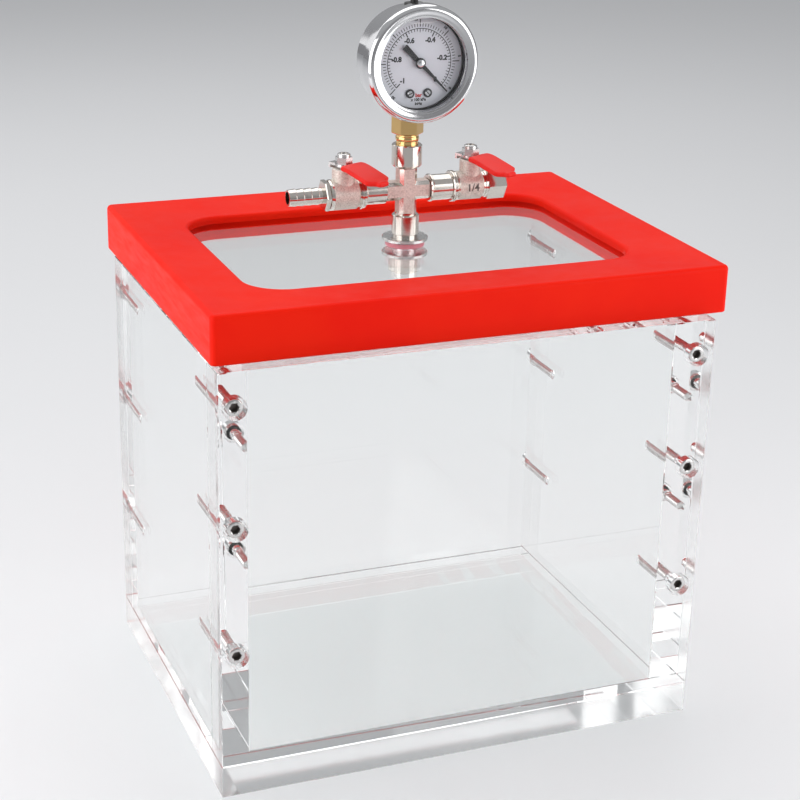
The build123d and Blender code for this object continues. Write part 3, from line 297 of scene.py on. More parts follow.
def makeCast(name, dark, light, mask):
    # The mask is 1 where the casting keeps its skin and 0 where it is polished.
    bench = Bench(name)
    cast = mask(bench)
    speckle = bench.noise(castSkin["speckle"], 2.0, 0.7)
    cloud = bench.noise(castSkin["clouds"])
    grain = bench.ease(speckle * 0.75 + cloud * 0.25, *castSkin["contrast"])
    skin = bench.blend(grain, dark, light)
    return bench.surface({
        "Base Color": bench.blend(cast, castSkin["polished"], skin),
        "Metallic": 1.0 - cast * (1.0 - castSkin["metallic"]),
        "Roughness": cast * castSkin["roughness"] + castSkin["polishedRoughness"] + speckle * cast * 0.14,
        "Normal": bench.bump(speckle * cast, castSkin["depth"], 0.7),
    })


def flatFaces(bench):
    facing = bench.facing()
    fourths = [facing[axis] * facing[axis] * facing[axis] * facing[axis] for axis in "XYZ"]
    return fourths[0] + fourths[1] + fourths[2] > castSkin["square"]


def valveMiddle(bench):
    station = abs(bench.split(bench.place())["X"] - crossCentre.x)
    return (station > castSkin["bodyFrom"]) * (station < castSkin["bodyTo"])


plainStuffs = {
    # light, dark, roughness, clouds a metre, depth of the grain
    "redVinyl": (rgb(0.95, 0.030, 0.022), rgb(0.88, 0.018, 0.014), (0.34, 0.48), 90.0, 0.00003),
    "whitePtfe": (rgb(0.88, 0.88, 0.86), rgb(0.80, 0.80, 0.78), (0.45, 0.55), 200.0, 0.00003),
    "blackRubber": (rgb(0.030, 0.030, 0.030), rgb(0.016, 0.016, 0.016), (0.42, 0.6), 150.0, 0.00003),
    "dialWhite": (rgb(0.66, 0.66, 0.71), rgb(0.62, 0.62, 0.67), (0.42, 0.5), 60.0, 0.00001),
    "dialBlack": (rgb(0.012, 0.012, 0.014), rgb(0.02, 0.02, 0.022), (0.28, 0.38), 300.0, 0.00001),
    # The dark tone below is painted shade: the shadows along the size mark's raised letters and the shade inside the
    # screws' sockets.
    "paintedShade": (rgb(0.16, 0.14, 0.13), rgb(0.10, 0.09, 0.08), (0.35, 0.5), 900.0, 0.00001),
    # The near-white below is a painted highlight for the filling's level.
    "levelHighlight": (rgb(0.90, 0.90, 0.92), rgb(0.84, 0.84, 0.86), (0.1, 0.2), 300.0, 0.000005),
    "redInk": (rgb(0.55, 0.03, 0.03), rgb(0.45, 0.02, 0.02), (0.4, 0.5), 400.0, 0.000005),
    "floorPaper": (rgb(0.80, 0.80, 0.81), rgb(0.80, 0.80, 0.81), (0.7, 0.8), 3.0, 0.00001),
}


def makePlain(name, **extra):
    light, dark, roughness, clouds, depth = plainStuffs[name]
    bench = Bench(name)
    cloud = bench.noise(clouds, 4.0)
    fine = bench.noise(clouds * 8, 2.0)
    return bench.surface({
        "Base Color": bench.blend(bench.ease(cloud, 0.3, 0.7), dark, light),
        "Roughness": bench.ease(cloud, 0.3, 0.7, *roughness),
        "Normal": bench.bump(fine, depth, 0.5),
        **extra,
    })


finish = {
    "clear_acrylic": makeClearAcrylic(),
    "red_silicone": makeRedSilicone(),
    "pink_silicone": makePinkSilicone(),
    "nickel": makeMetal("nickel"),
    "screw_steel": makeMetal("screwSteel"),
    "stainless": makeMetal("stainless"),
    "gauge_steel": makeMetal("gaugeSteel"),
    "brass": makeMetal("brass"),
    "gauge_glass": makeWindowGlass(),
    "red_vinyl": makePlain("redVinyl", **{"Specular IOR Level": 0.18}),
    "white_ptfe": makePlain("whitePtfe"),
    "black_rubber": makePlain("blackRubber"),
    "dial_white": makePlain("dialWhite"),
    "dial_black": makePlain("dialBlack"),
}
castCross = makeCast("castCross", rgb(0.60, 0.49, 0.44), rgb(0.90, 0.77, 0.71), flatFaces)
castBody = makeCast("castBody", rgb(0.58, 0.52, 0.46), rgb(0.93, 0.87, 0.80), valveMiddle)
castings = {"cross_fitting": castCross, "hose_valve_body": castBody, "vent_valve_body": castBody}
paintedShade = makePlain("paintedShade", Metallic=0.6)
levelHighlight = makePlain("levelHighlight")
redInk = makePlain("redInk")
print("finishes made")

nodeSlots = {part["node"]: part["material_slot"] for part in frame["record"]["subparts"]}
for node, thing in frame["nodes"].items():
    thing.data.materials.clear()
    thing.data.materials.append(castings.get(node) or finish[nodeSlots[node]])


# Mesh helpers
def settle(name, made, slot, body="chamber", material=None):
    # Hangs a bmesh or a work object in the scene as a piece that rides on a body.
    mesh = takeMesh(made)
    mesh.validate()
    mesh.shade_smooth()
    mesh.set_sharp_from_angle(angle=math.radians(32))
    mesh.materials.clear()
    mesh.materials.append(material or finish[slot])
    thing = bpy.data.objects.new(name, mesh)
    bpy.context.scene.collection.objects.link(thing)
    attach(thing, body)
    return thing


def slab(low, high, breakSize):
    # A box with its edges broken.
    work = bmesh.new()
    bmesh.ops.create_cube(work, size=1.0)
    size = Vector(high) - Vector(low)
    for vert in work.verts:
        vert.co = Vector(low) + Vector((size[i] * (vert.co[i] + 0.5) for i in range(3)))
    bmesh.ops.bevel(work, geom=work.edges[:], offset=breakSize, segments=1, affect="EDGES")
    return bmeshThing(work)


def lathe(profile, origin, along, segments=64, loop=False):
    # Spins (distance, radius) pairs, in metres, round an axis; a loop joins the last pair to the first.
    along = Vector(along).normalized()
    aside = along.orthogonal().normalized()
    other = along.cross(aside)
    work = bmesh.new()
    rings = []
    for distance, radius in profile:
        centre = Vector(origin) + along * distance
        if radius <= 0:
            rings.append([work.verts.new(centre)])
        else:
            rings.append([
                work.verts.new(centre + (aside * math.cos(a) + other * math.sin(a)) * radius)
                for a in (2 * math.pi * k / segments for k in range(segments))
            ])
    if loop:
        rings.append(rings[0])
    for first, second in zip(rings, rings[1:]):
        for k in range(segments):
            corners = [first[k % len(first)], first[(k + 1) % len(first)],
                       second[(k + 1) % len(second)], second[k % len(second)]]
            corners = list(dict.fromkeys(corners))
            if len(corners) > 2:
                work.faces.new(corners)
    bmesh.ops.recalc_face_normals(work, faces=work.faces[:])
    return bmeshThing(work)


def inMetres(profile):
    return [(distance * mm, radius * mm) for distance, radius in profile]


def ringOf(work, origin, along, aside, other, distance, segments, radiusAt):
    centre = origin + along * distance
    return [
        work.verts.new(centre + (aside * math.cos(a) + other * math.sin(a)) * radiusAt(a))
        for a in (2 * math.pi * k / segments for k in range(segments))
    ]


def bridge(work, first, second):
    count = len(first)
    for k in range(count):
        work.faces.new((first[k], first[(k + 1) % count], second[(k + 1) % count], second[k]))


def skin(work, rings, capFirst=True, capLast=True):
    # Faces between neighbouring rings, closed at the ends, all turned outward.
    for first, second in zip(rings, rings[1:]):
        bridge(work, first, second)
    if capFirst:
        work.faces.new(rings[0])
    if capLast:
        work.faces.new(rings[-1])
    bmesh.ops.recalc_face_normals(work, faces=work.faces[:])


def bmeshThing(work):
    mesh = bpy.data.meshes.new("work")
    work.to_mesh(mesh)
    work.free()
    thing = bpy.data.objects.new("work", mesh)
    bpy.context.scene.collection.objects.link(thing)
    return thing


def combine(first, others, operation):
    # Booleans the others into the first one and clears them away.
    for other in others:
        step = first.modifiers.new("step", "BOOLEAN")
        step.operation = operation
        step.solver = "EXACT"
        step.object = other
    bpy.context.view_layer.update()
    ready = first.evaluated_get(bpy.context.evaluated_depsgraph_get())
    mesh = bpy.data.meshes.new_from_object(ready)
    first.modifiers.clear()
    old = first.data
    first.data = mesh
    bpy.data.meshes.remove(old)
    for other in others:
        spare = other.data
        bpy.data.objects.remove(other)
        bpy.data.meshes.remove(spare)
    return first


def takeMesh(made):
    if isinstance(made, bmesh.types.BMesh):
        made = bmeshThing(made)
    mesh = made.data
    bpy.data.objects.remove(made)
    return mesh


# Box: five plates cemented into one clear body
chamber = {
    "edge": 0.5 * mm,
    "cement": 0.03 * mm,  # how far the plates run into each other
    "counterbore": (6.65 * mm, 8.0 * mm),
    "clearance": 3.5 * mm,
    "lead": 0.8 * mm,  # the length of a bore's cone
    "threadCut": 0.2 * mm,  # how far a thread bites into the plate
    "proud": 1.0 * mm,  # how far a cutter starts outside the plate
    "endVoid": (3.05 * mm, 1.6 * mm),
    "screwDrops": (21.0 * mm, 92.0 * mm, 169.5 * mm),
    "plates": ("base_plate", "front_wall", "back_wall", "left_wall", "right_wall"),
}
screw = {
    "headRadius": 5.0 * mm, "headHeight": 6.0 * mm, "edge": 0.6 * mm, "knurls": 36, "knurl": 0.12 * mm,
    "socket": 2.5 * mm, "socketDepth": 3.2 * mm, "socketCone": 0.8 * mm, "socketTip": 0.1 * mm, "socketRim": 1.2,
    "radius": 3.0 * mm, "root": 2.55 * mm, "fillet": 0.3 * mm, "length": 40.0 * mm, "plainLength": 14.0 * mm,
    "pitch": 1.0 * mm, "steps": 6, "tip": 0.8 * mm,
}
baseLow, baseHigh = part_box("base_plate")
wallLow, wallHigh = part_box("front_wall")
rimHeight = wallHigh.z
wallThickness = wallHigh.y - wallLow.y


def grow(node, amount):
    low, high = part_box(node)
    return low - Vector(amount), high + Vector(amount)


def screwSites():
    # (group, the heads' centres on the outer face, direction into the box)
    for group in ("front_left_screws", "front_right_screws", "back_left_screws", "back_right_screws"):
        low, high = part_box(group)
        front = low.y < 0
        face = baseLow.y if front else baseHigh.y
        inward = Vector((0, 1 if front else -1, 0))
        heads = [Vector(((low.x + high.x) / 2, face, rimHeight - drop)) for drop in chamber["screwDrops"]]
        yield group, heads, inward


def makeBox():
    cement = chamber["cement"]
    edge = chamber["edge"]
    lead = chamber["lead"]
    plates = [slab(*grow("base_plate", (0, 0, 0)), edge)]
    plates += [slab(*grow(wall, (0, 0, cement)), edge) for wall in ("front_wall", "back_wall")]
    plates += [slab(*grow(wall, (0, cement, cement)), edge) for wall in ("left_wall", "right_wall")]
    boreRadius, boreDepth = chamber["counterbore"]
    voidRadius, voidLength = chamber["endVoid"]
    tipAt = boreDepth + screw["length"]
    holes = []
    for group, heads, inward in screwSites():
        for head in heads:
            holes.append(lathe([
                (-chamber["proud"], 0), (-chamber["proud"], boreRadius), (boreDepth, boreRadius),
                (boreDepth, chamber["clearance"]), (wallThickness, chamber["clearance"]),
                (wallThickness + lead, screw["radius"] - chamber["threadCut"]),
                (wallThickness + lead, 0),
            ], head, inward, 48))
            holes.append(lathe([
                (tipAt - lead, 0), (tipAt - lead, screw["root"]), (tipAt, voidRadius),
                (tipAt + voidLength, voidRadius), (tipAt + 2 * voidLength, 0),
            ], head, inward, 48))
    body = combine(plates[0], plates[1:], "UNION")
    body = combine(body, holes, "DIFFERENCE")
    box = settle("acrylicBox", body, "clear_acrylic")
    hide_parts(*chamber["plates"])


def makeScrewMesh(work, head, inward):
    # One socket-head screw: knurled head, hexagon socket, plain shank, rolled thread.
    aside = Vector((0, 0, 1))
    other = inward.cross(aside)
    seat = head + inward * chamber["counterbore"][1]
    segments = 2 * screw["knurls"]

    def ring(distance, radiusAt, count=segments):
        return ringOf(work, seat, inward, aside, other, distance, count, radiusAt)

    def hexagon(a):
        return screw["socket"] / math.cos((a + math.pi / 6) % (math.pi / 3) - math.pi / 6)

    def knurl(a):
        return screw["headRadius"] - (screw["knurl"] if round(a * segments / (2 * math.pi)) % 2 else 0)

    top = -screw["headHeight"]
    edge = screw["edge"]
    rings = [
        ring(top + screw["socketDepth"] + screw["socketCone"], lambda a: screw["socketTip"]),
        ring(top + screw["socketDepth"], hexagon),
        ring(top + screw["fillet"], hexagon),
        ring(top, lambda a: screw["socket"] * screw["socketRim"]),
        ring(top, lambda a: screw["headRadius"] - edge),
        ring(top + edge * 0.4, lambda a: screw["headRadius"] - edge * 0.3),
        ring(top + edge, knurl),
        ring(-edge, knurl),
        ring(0, lambda a: screw["headRadius"] - edge * 0.4),
        ring(0, lambda a: screw["radius"] + screw["fillet"]),
        ring(screw["fillet"], lambda a: screw["radius"]),
    ]
    skin(work, rings, capLast=False)
    shank = segments // 2
    steps = screw["steps"]
    rows = [ring(screw["fillet"], lambda a: screw["radius"], shank)]
    count = round((screw["length"] - screw["plainLength"] - screw["tip"]) / screw["pitch"] * steps)
    for step in range(count + 1):
        grown = min(1.0, step / steps)

        def radiusAt(a):
            phase = (step / steps - a / (2 * math.pi)) % 1.0
            depth = (1 - abs(2 * phase - 1)) * (screw["radius"] - screw["root"])
            return screw["radius"] - depth * grown
        rows.append(ring(screw["plainLength"] + step * screw["pitch"] / steps, radiusAt, shank))
    rows.append(ring(screw["length"], lambda a: screw["root"], shank))
    skin(work, rows, capFirst=False)


def makeScrews():
    for group, heads, inward in screwSites():
        work = bmesh.new()
        for head in heads:
            makeScrewMesh(work, head, inward)
        thing = settle(group.title().replace("_", ""), work, "screw_steel")
        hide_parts(group)


# A dark cup of painted shade lines each screw socket, for the shade inside the hexagon recess.
shadeCup = {"outer": 2.46, "inner": 2.32, "mouth": 0.35, "floor": 0.15}


def makeSocketShades():
    depth = screw["socketDepth"] / mm
    profile = [(shadeCup["mouth"], shadeCup["inner"]), (depth - shadeCup["floor"], shadeCup["inner"]),
               (depth - shadeCup["floor"], 0), (depth, 0), (depth, shadeCup["outer"]), (shadeCup["mouth"], shadeCup["outer"])]
    work = bmesh.new()
    for group, heads, inward in screwSites():
        for head in heads:
            top = head + inward * (chamber["counterbore"][1] - screw["headHeight"])
            cup = takeMesh(lathe(inMetres(profile), top, inward, 24, loop=True))
            work.from_mesh(cup)
            bpy.data.meshes.remove(cup)
    bmesh.ops.recalc_face_normals(work, faces=work.faces[:])
    settle("socketShades", work, "screw_steel", material=paintedShade)


makeBox()
print("box made")
makeScrews()
makeSocketShades()
print("screws made")

# Lid plate, bedded a hair into the rubber and the washers
lidPlate = {
    "corner": 3.0 * mm, "cornerSteps": 8, "bed": 0.04 * mm,
    "hole": 7.1 * mm, "holeSpan": (-1.0 * mm, 17.0 * mm),  # from the plate's underside
}


def makeLidPlate():
    low, high = grow("lid_plate", [lidPlate["bed"]] * 3)
    work = bmesh.new()
    radius = lidPlate["corner"]
    outline = []
    for cx, cy, start in ((high.x, high.y, 0), (low.x, high.y, 90), (low.x, low.y, 180), (high.x, low.y, 270)):
        sx = -1 if cx == high.x else 1
        sy = -1 if cy == high.y else 1
        for k in range(lidPlate["cornerSteps"] + 1):
            a = math.radians(start + k * 90 / lidPlate["cornerSteps"])
            outline.append((cx + sx * radius + math.cos(a) * radius, cy + sy * radius + math.sin(a) * radius))
    bottom = [work.verts.new((x, y, low.z)) for x, y in outline]
    top = [work.verts.new((x, y, high.z)) for x, y in outline]
    skin(work, [bottom, top])
    pane = bmeshThing(work)
    centre = (low + high) / 2
    under, over = lidPlate["holeSpan"]
    hole = lathe([(under, 0), (under, lidPlate["hole"]), (over, lidPlate["hole"]), (over, 0)],
                 (centre.x, centre.y, low.z), (0, 0, 1))
    combine(pane, [hole], "DIFFERENCE")
    thing = settle("lidPlate", pane, "clear_acrylic")
    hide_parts("lid_plate")


makeLidPlate()
print("lid plate made")

# Pipe threads where they show
pipeThread = {"pitch": 1.337 * mm, "root": 6.55 * mm, "crest": 6.86 * mm, "steps": 8, "segments": 64, "fade": 3}


def threadRise(step, steps, a):
    # How far up its flank a thread stands at an angle, cut off flat at the crest.
    phase = (step / steps - a / (2 * math.pi)) % 1.0
    return min(1.0, 1.5 * (1 - abs(2 * phase - 1)))


def makeThread(name, slot, centre, low, high):
    work = bmesh.new()
    along, aside, other = Vector((0, 0, 1)), Vector((1, 0, 0)), Vector((0, 1, 0))
    count = round((high - low) / pipeThread["pitch"] * pipeThread["steps"])
    rows = []
    for step in range(count + 1):
        fade = min(1.0, step / pipeThread["fade"], (count - step) / pipeThread["fade"])

        def radiusAt(a):
            rise = threadRise(step, pipeThread["steps"], a)
            return pipeThread["root"] + (pipeThread["crest"] - pipeThread["root"]) * rise * fade
        distance = (high - low) * step / count
        rows.append(ringOf(work, Vector((centre.x, centre.y, low)), along, aside, other, distance,
                           pipeThread["segments"], radiusAt))
    skin(work, rows, capFirst=False, capLast=False)
    settle(name, work, slot)


stackLow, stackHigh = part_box("upper_coupling")
stackCentre = (stackLow + stackHigh) / 2
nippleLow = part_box("lid_nipple")[0].z
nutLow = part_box("lower_nut")[0].z
nippleThread = {"tip": 0.4 * mm, "intoNut": 0.3 * mm}
makeThread("nippleThread", "nickel", stackCentre, nippleLow + nippleThread["tip"], nutLow + nippleThread["intoNut"])

# Under the gauge's hexagon: a plain rounded shoulder over a thin ring.
shoulder = {
    "inner": 6.0,
    "profile": ((0.1, 6.2), (0.3, 6.75), (1.1, 6.75), (1.4, 6.35), (1.8, 6.4), (2.3, 6.85), (3.2, 7.1),
                (4.2, 7.05), (5.1, 6.75), (5.7, 6.3)),
}


def makeShoulder():
    profile = list(shoulder["profile"])
    profile = [(profile[0][0], shoulder["inner"])] + profile + [(profile[-1][0], shoulder["inner"])]
    bead = lathe(inMetres(profile), (stackCentre.x, stackCentre.y, stackHigh.z), (0, 0, 1), 72, loop=True)
    settle("gaugeShoulder", bead, "brass")


makeShoulder()

# The vent port's own thread.
port = {
    "depth": 9.0 * mm, "inset": 0.4 * mm, "root": 6.58 * mm, "crest": 6.05 * mm, "wall": 0.03 * mm,
    "steps": 8, "leadIn": 5, "segments": 64,
}


def makePortThread():
    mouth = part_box("vent_valve_body")[1].x
    origin = Vector((mouth - port["inset"], crossCentre.y, crossCentre.z))
    axes = (Vector((-1, 0, 0)), Vector((0, 1, 0)), Vector((0, 0, 1)))
    work = bmesh.new()
    count = round(port["depth"] / pipeThread["pitch"] * port["steps"])
    inner, outer = [], []
    for step in range(count + 1):
        def radiusAt(a):
            rise = threadRise(step, port["steps"], a) * min(1.0, step / port["leadIn"])
            return port["root"] - port["wall"] - (port["root"] - port["crest"]) * rise
        distance = port["depth"] * step / count
        inner.append(ringOf(work, origin, *axes, distance, port["segments"], radiusAt))
        if step in (0, count):
            outer.append(ringOf(work, origin, *axes, distance, port["segments"], lambda a: port["root"]))
    for first, second in zip(inner, inner[1:]):
        bridge(work, first, second)
    bridge(work, outer[1], outer[0])
    bridge(work, outer[0], inner[0])
    bridge(work, inner[-1], outer[1])
    bmesh.ops.recalc_face_normals(work, faces=work.faces[:])
    settle("portThread", work, "nickel")


makePortThread()

# The hose tail's ridges, rounded over on the valve's side.
tail = {
    "pitch": 4.7, "ridges": 4, "root": 4.84, "crest": 5.26, "bore": 4.2,
    "over": 0.55, "inset": 0.25, "end": 0.1, "steps": 6,
}


def makeTailRidges():
    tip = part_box("hose_barb")[0].x
    drop = tail["crest"] - tail["root"]
    profile = []
    for k in range(tail["ridges"]):
        start = k * tail["pitch"] + (tail["inset"] if k == 0 else 0.0)
        crest = (k + 1) * tail["pitch"] - tail["over"]
        profile.append((start, tail["root"]))
        for j in range(tail["steps"] + 1):
            a = math.pi / 2 * j / tail["steps"]
            profile.append((crest + tail["over"] * math.sin(a), tail["crest"] - drop * (1 - math.cos(a))))
    profile = [(profile[0][0], tail["bore"])] + profile + [(profile[-1][0] + tail["end"], tail["bore"])]
    ridges = lathe(inMetres(profile), (tip, crossCentre.y, crossCentre.z), (1, 0, 0), 72, loop=True)
    settle("tailRidges", ridges, "nickel")


makeTailRidges()
print("threads made")

# Vinyl grips, dipped over the lever strips
grip = {
    "azimuth": -64.0,  # (distance from the stem, height) and (distance, half the width) follow
    "line": ((5.4, 0.0), (10.0, -0.3), (13.0, -1.0), (16.0, -1.85), (19.0, -2.75), (22.0, -3.6),
             (25.0, -4.5), (28.0, -5.5), (31.0, -6.1), (33.5, -5.9)),
    "halfWidth": ((5.4, 8.4), (6.4, 9.2), (7.6, 9.6), (27.0, 9.7), (28.0, 9.3), (28.9, 7.4),
                  (29.5, 5.2), (30.2, 4.3), (33.5, 4.0)),
    "halfThickness": 1.5, "crown": 0.14, "leverTop": 0.75, "endRound": 1.3, "endNarrow": 1.2, "endLeast": 0.04,
    "sections": 64, "edgeSteps": 10, "crownSteps": 8, "lineReach": 1.1, "sideReach": 0.9, "slopeStep": 0.2,
}


def along(table, place):
    # Reads a value between the table's points.
    for (x0, y0), (x1, y1) in zip(table, table[1:]):
        if place <= x1 or x1 == table[-1][0]:
            share = min(1.0, max(0.0, (place - x0) / (x1 - x0)))
            return y0 + (y1 - y0) * share
    return table[-1][1]


def smoothAlong(table, place, reach=grip["lineReach"]):
    return sum(along(table, place + reach * k / 3) for k in range(-3, 4)) / 7


def gripSection(wide, thick):
    # A flat strip with full round edges and a slight crown.
    spots = []
    for side in (1, -1):
        for k in range(grip["edgeSteps"] + 1):
            a = math.pi * (k / grip["edgeSteps"] - 0.5)
            spots.append((side * (wide - thick + thick * math.cos(a)), side * thick * math.sin(a)))
        for k in range(1, grip["crownSteps"]):
            share = 1 - 2 * k / grip["crownSteps"]
            spots.append((side * (wide - thick) * share, side * thick * (1 + grip["crown"] * (1 - share * share))))
    return spots


def makeGrip(name, node, leverNode, body):
    nutLow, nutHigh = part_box(node.replace("_grip", "_nut"))
    centre = (nutLow + nutHigh) / 2
    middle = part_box(leverNode)[1].z - grip["leverTop"] * mm
    azimuth = math.radians(grip["azimuth"])
    ahead = Vector((math.cos(azimuth), math.sin(azimuth), 0))
    across = Vector((-ahead.y, ahead.x, 0))
    up = Vector((0, 0, 1))
    start, end = grip["line"][0][0], grip["line"][-1][0]
    work = bmesh.new()
    rows = []
    for k in range(grip["sections"] + 1):
        turn = math.pi * k / grip["sections"]
        place = start + (end - start) * (1 - math.cos(turn)) / 2
        height = smoothAlong(grip["line"], place)
        near, far = (smoothAlong(grip["line"], place + step) for step in (-grip["slopeStep"], grip["slopeStep"]))
        slope = (far - near) / (2 * grip["slopeStep"])
        upright = Vector((-slope, 1.0)).normalized()
        normal = ahead * upright.x + up * upright.y
        taper = min(1.0, min(place - start, end - place) / grip["endRound"])
        rounding = math.sqrt(max(0.0, 1 - (1 - taper) ** 2)) * (1 - grip["endLeast"]) + grip["endLeast"]
        thick = grip["halfThickness"] * rounding
        wide = smoothAlong(grip["halfWidth"], place, grip["sideReach"]) - grip["endNarrow"] * (1 - rounding)
        row = []
        for x, y in gripSection(wide, thick):
            spot = ahead * place + across * x + up * height + normal * y
            row.append(work.verts.new(Vector((centre.x, centre.y, middle)) + spot * mm))
        rows.append(row)
    skin(work, rows)
    thing = settle(name, work, "red_vinyl", body)
    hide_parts(node)


makeGrip("hoseGrip", "hose_valve_grip", "hose_valve_lever", "hose_valve_handle")
makeGrip("ventGrip", "vent_valve_grip", "vent_valve_lever", "vent_valve_handle")
print("grips made")

# Dial printing
dial = {
    "sweepStart": -45.0, "sweep": 270.0, "lift": 0.03 * mm,
    "arc": 19.8, "arcWidth": 0.42,
    "ticks": 50, "minor": (1.6, 0.42), "half": (2.2, 0.42), "major": (3.1, 0.66),  # length, width
    "outerTicks": 60, "outerNear": 1.0, "outerMinor": (1.9, 0.40), "outerMajor": (4.4, 0.56),
    "numerals": ("0", "-0.2", "-0.4", "-0.6", "-0.8", "-1"),
    "numeralRadius": 14.4, "numeralHeight": 2.9, "weight": 0.075,
    "outerNumerals": ("0", "5", "10", "15", "20", "25", "30"), "outerRadius": 25.2, "outerHeight": 1.7,
    "outerShift": 0.14,  # the outer numerals stand beside their ticks
    "units": (("bar", -19.0, 2.2), ("x 100 kPa", -21.6, 1.7), ("inHg", -23.9, 1.7)),
}
dialLow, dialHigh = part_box("gauge_dial")
dialCentre = Vector(((dialLow.x + dialHigh.x) / 2, dialLow.y - dial["lift"], (dialLow.z + dialHigh.z) / 2))


def onDial(x, z, lift=0.0):
    return dialCentre + Vector((x * mm, -lift, z * mm))


def addStrip(work, points):
    # Points come in pairs, one on each side of the strip.
    rows = [[work.verts.new(onDial(*spot)) for spot in pair] for pair in points]
    for first, second in zip(rows, rows[1:]):
        work.faces.new((first[0], first[1], second[1], second[0]))


def addArc(work, radius, width, first, last, steps=120):
    angles = [math.radians(first + (last - first) * k / steps) for k in range(steps + 1)]
    addStrip(work, [[(r * math.cos(a), r * math.sin(a)) for r in (radius - width / 2, radius + width / 2)]
                    for a in angles])


def addTick(work, angle, near, far, width):
    a = math.radians(angle)
    ax, az = math.cos(a), math.sin(a)
    addStrip(work, [[(ax * r - az * w, az * r + ax * w) for w in (-width / 2, width / 2)] for r in (near, far)])


def addText(work, text, x, z, height, place=onDial, weight=0.0, spin=0.0, depth=0.0, cuts=0):
    curve = bpy.data.curves.new("figure", "FONT")
    curve.offset = weight * height
    curve.extrude = depth
    curve.body = text
    curve.size = height * 1.38  # the figures then come out at the height asked for
    curve.align_x = "CENTER"
    curve.align_y = "CENTER"
    curve.resolution_u = 3
    holder = bpy.data.objects.new("figure", curve)
    bpy.context.scene.collection.objects.link(holder)
    bpy.context.view_layer.update()
    mesh = bpy.data.meshes.new_from_object(holder)
    bpy.data.objects.remove(holder)
    bpy.data.curves.remove(curve)
    turn = Matrix.Rotation(math.radians(spin), 2)
    shape = bmesh.new()
    shape.from_mesh(mesh)
    if cuts:
        bmesh.ops.subdivide_edges(shape, edges=shape.edges[:], cuts=cuts, use_grid_fill=True)
    for vert in shape.verts:
        flat = turn @ vert.co.xy
        vert.co = place(x + flat.x, z + flat.y, vert.co.z * mm)
    shape.to_mesh(mesh)
    shape.free()
    work.from_mesh(mesh)
    bpy.data.meshes.remove(mesh)


def makeDialPrint():
    work = bmesh.new()
    start, sweep = dial["sweepStart"], dial["sweep"]
    addArc(work, dial["arc"], dial["arcWidth"], start, start + sweep)
    for k in range(dial["ticks"] + 1):
        length, width = dial["major"] if k % 10 == 0 else dial["half"] if k % 5 == 0 else dial["minor"]
        addTick(work, start + sweep * k / dial["ticks"], dial["arc"] - length, dial["arc"], width)
    for k in range(dial["outerTicks"] + 1):
        length, width = dial["outerMajor"] if k % 10 == 0 else dial["outerMinor"]
        near = dial["arc"] + dial["outerNear"]
        addTick(work, start + sweep * k / dial["outerTicks"], near, near + length, width)
    count = len(dial["numerals"]) - 1
    for k, text in enumerate(dial["numerals"]):
        a = math.radians(start + sweep * k / count)
        addText(work, text, dial["numeralRadius"] * math.cos(a), dial["numeralRadius"] * math.sin(a),
                dial["numeralHeight"], onDial, dial["weight"])
    count = len(dial["outerNumerals"]) - 1
    for k, text in enumerate(dial["outerNumerals"]):
        angle = start + sweep * (k + dial["outerShift"]) / count
        a = math.radians(angle)
        addText(work, text, dial["outerRadius"] * math.cos(a), dial["outerRadius"] * math.sin(a),
                dial["outerHeight"], onDial, dial["weight"], angle - 90)
    for text, height, size in dial["units"][1:]:
        addText(work, text, 0, height, size, onDial, dial["weight"])
    settle("dialPrint", work, "dial_black")
    work = bmesh.new()
    text, height, size = dial["units"][0]
    addText(work, text, 0, height, size, onDial, dial["weight"])
    settle("dialUnit", work, "dial_black", material=redInk)


makeDialPrint()

# The pointer: a tapered hand with a squared tail, a black hub and a bright domed cap.
pointer = {
    "length": 24.4, "tail": 14.0, "tailWidth": 3.7, "rootWidth": 2.6, "tipWidth": 0.5, "thickness": 0.5,
    "hub": 3.1, "hubRise": 0.9, "hubEdge": 0.35, "cap": 2.35, "capRise": 0.75, "capSteps": 8,
}


def makePointer():
    azimuth = math.radians(dial["sweepStart"])
    ahead = Vector((math.cos(azimuth), 0, math.sin(azimuth)))
    aside = Vector((-ahead.z, 0, ahead.x))
    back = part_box("gauge_pointer")[1].y
    front = back - pointer["thickness"] * mm
    centre = Vector((dialCentre.x, 0, dialCentre.z))
    shape = [
        (-pointer["tail"], pointer["tailWidth"] / 2), (0, pointer["rootWidth"] / 2),
        (pointer["length"], pointer["tipWidth"] / 2), (pointer["length"], -pointer["tipWidth"] / 2),
        (0, -pointer["rootWidth"] / 2), (-pointer["tail"], -pointer["tailWidth"] / 2),
    ]
    work = bmesh.new()
    rings = []
    for y in (back, front):
        rings.append([work.verts.new(centre + (ahead * x + aside * z) * mm + Vector((0, y, 0))) for x, z in shape])
    skin(work, rings)
    hand = settle("pointerHand", work, "dial_black", "pointer")
    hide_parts("gauge_pointer")
    rise = pointer["hubRise"]
    hub = lathe(inMetres([(0, 0), (0, pointer["hub"]), (0.6 * rise, pointer["hub"]),
                          (rise, pointer["hub"] - pointer["hubEdge"]), (rise, 0)]),
                (dialCentre.x, front, dialCentre.z), (0, -1, 0), 48)
    settle("pointerHub", hub, "dial_black", "pointer")
    dome = [(0, 0), (0, pointer["cap"])]
    for k in range(1, pointer["capSteps"]):
        a = math.pi / 2 * k / pointer["capSteps"]
        dome.append((pointer["capRise"] * math.sin(a), pointer["cap"] * math.cos(a)))
    dome.append((pointer["capRise"], 0))
    cap = lathe(inMetres(dome), (dialCentre.x, front - rise * mm, dialCentre.z), (0, -1, 0), 40)
    settle("pointerCap", cap, "gauge_steel", "pointer")


makePointer()

# A near-white strip near the window's top is a painted highlight: the light caught along the filling's level.
level = {
    "height": 23.4, "half": 9.0, "rise": 0.9, "width": 0.4, "thin": 0.6,
    "behind": 0.3, "thick": 0.2, "steps": 24,
}


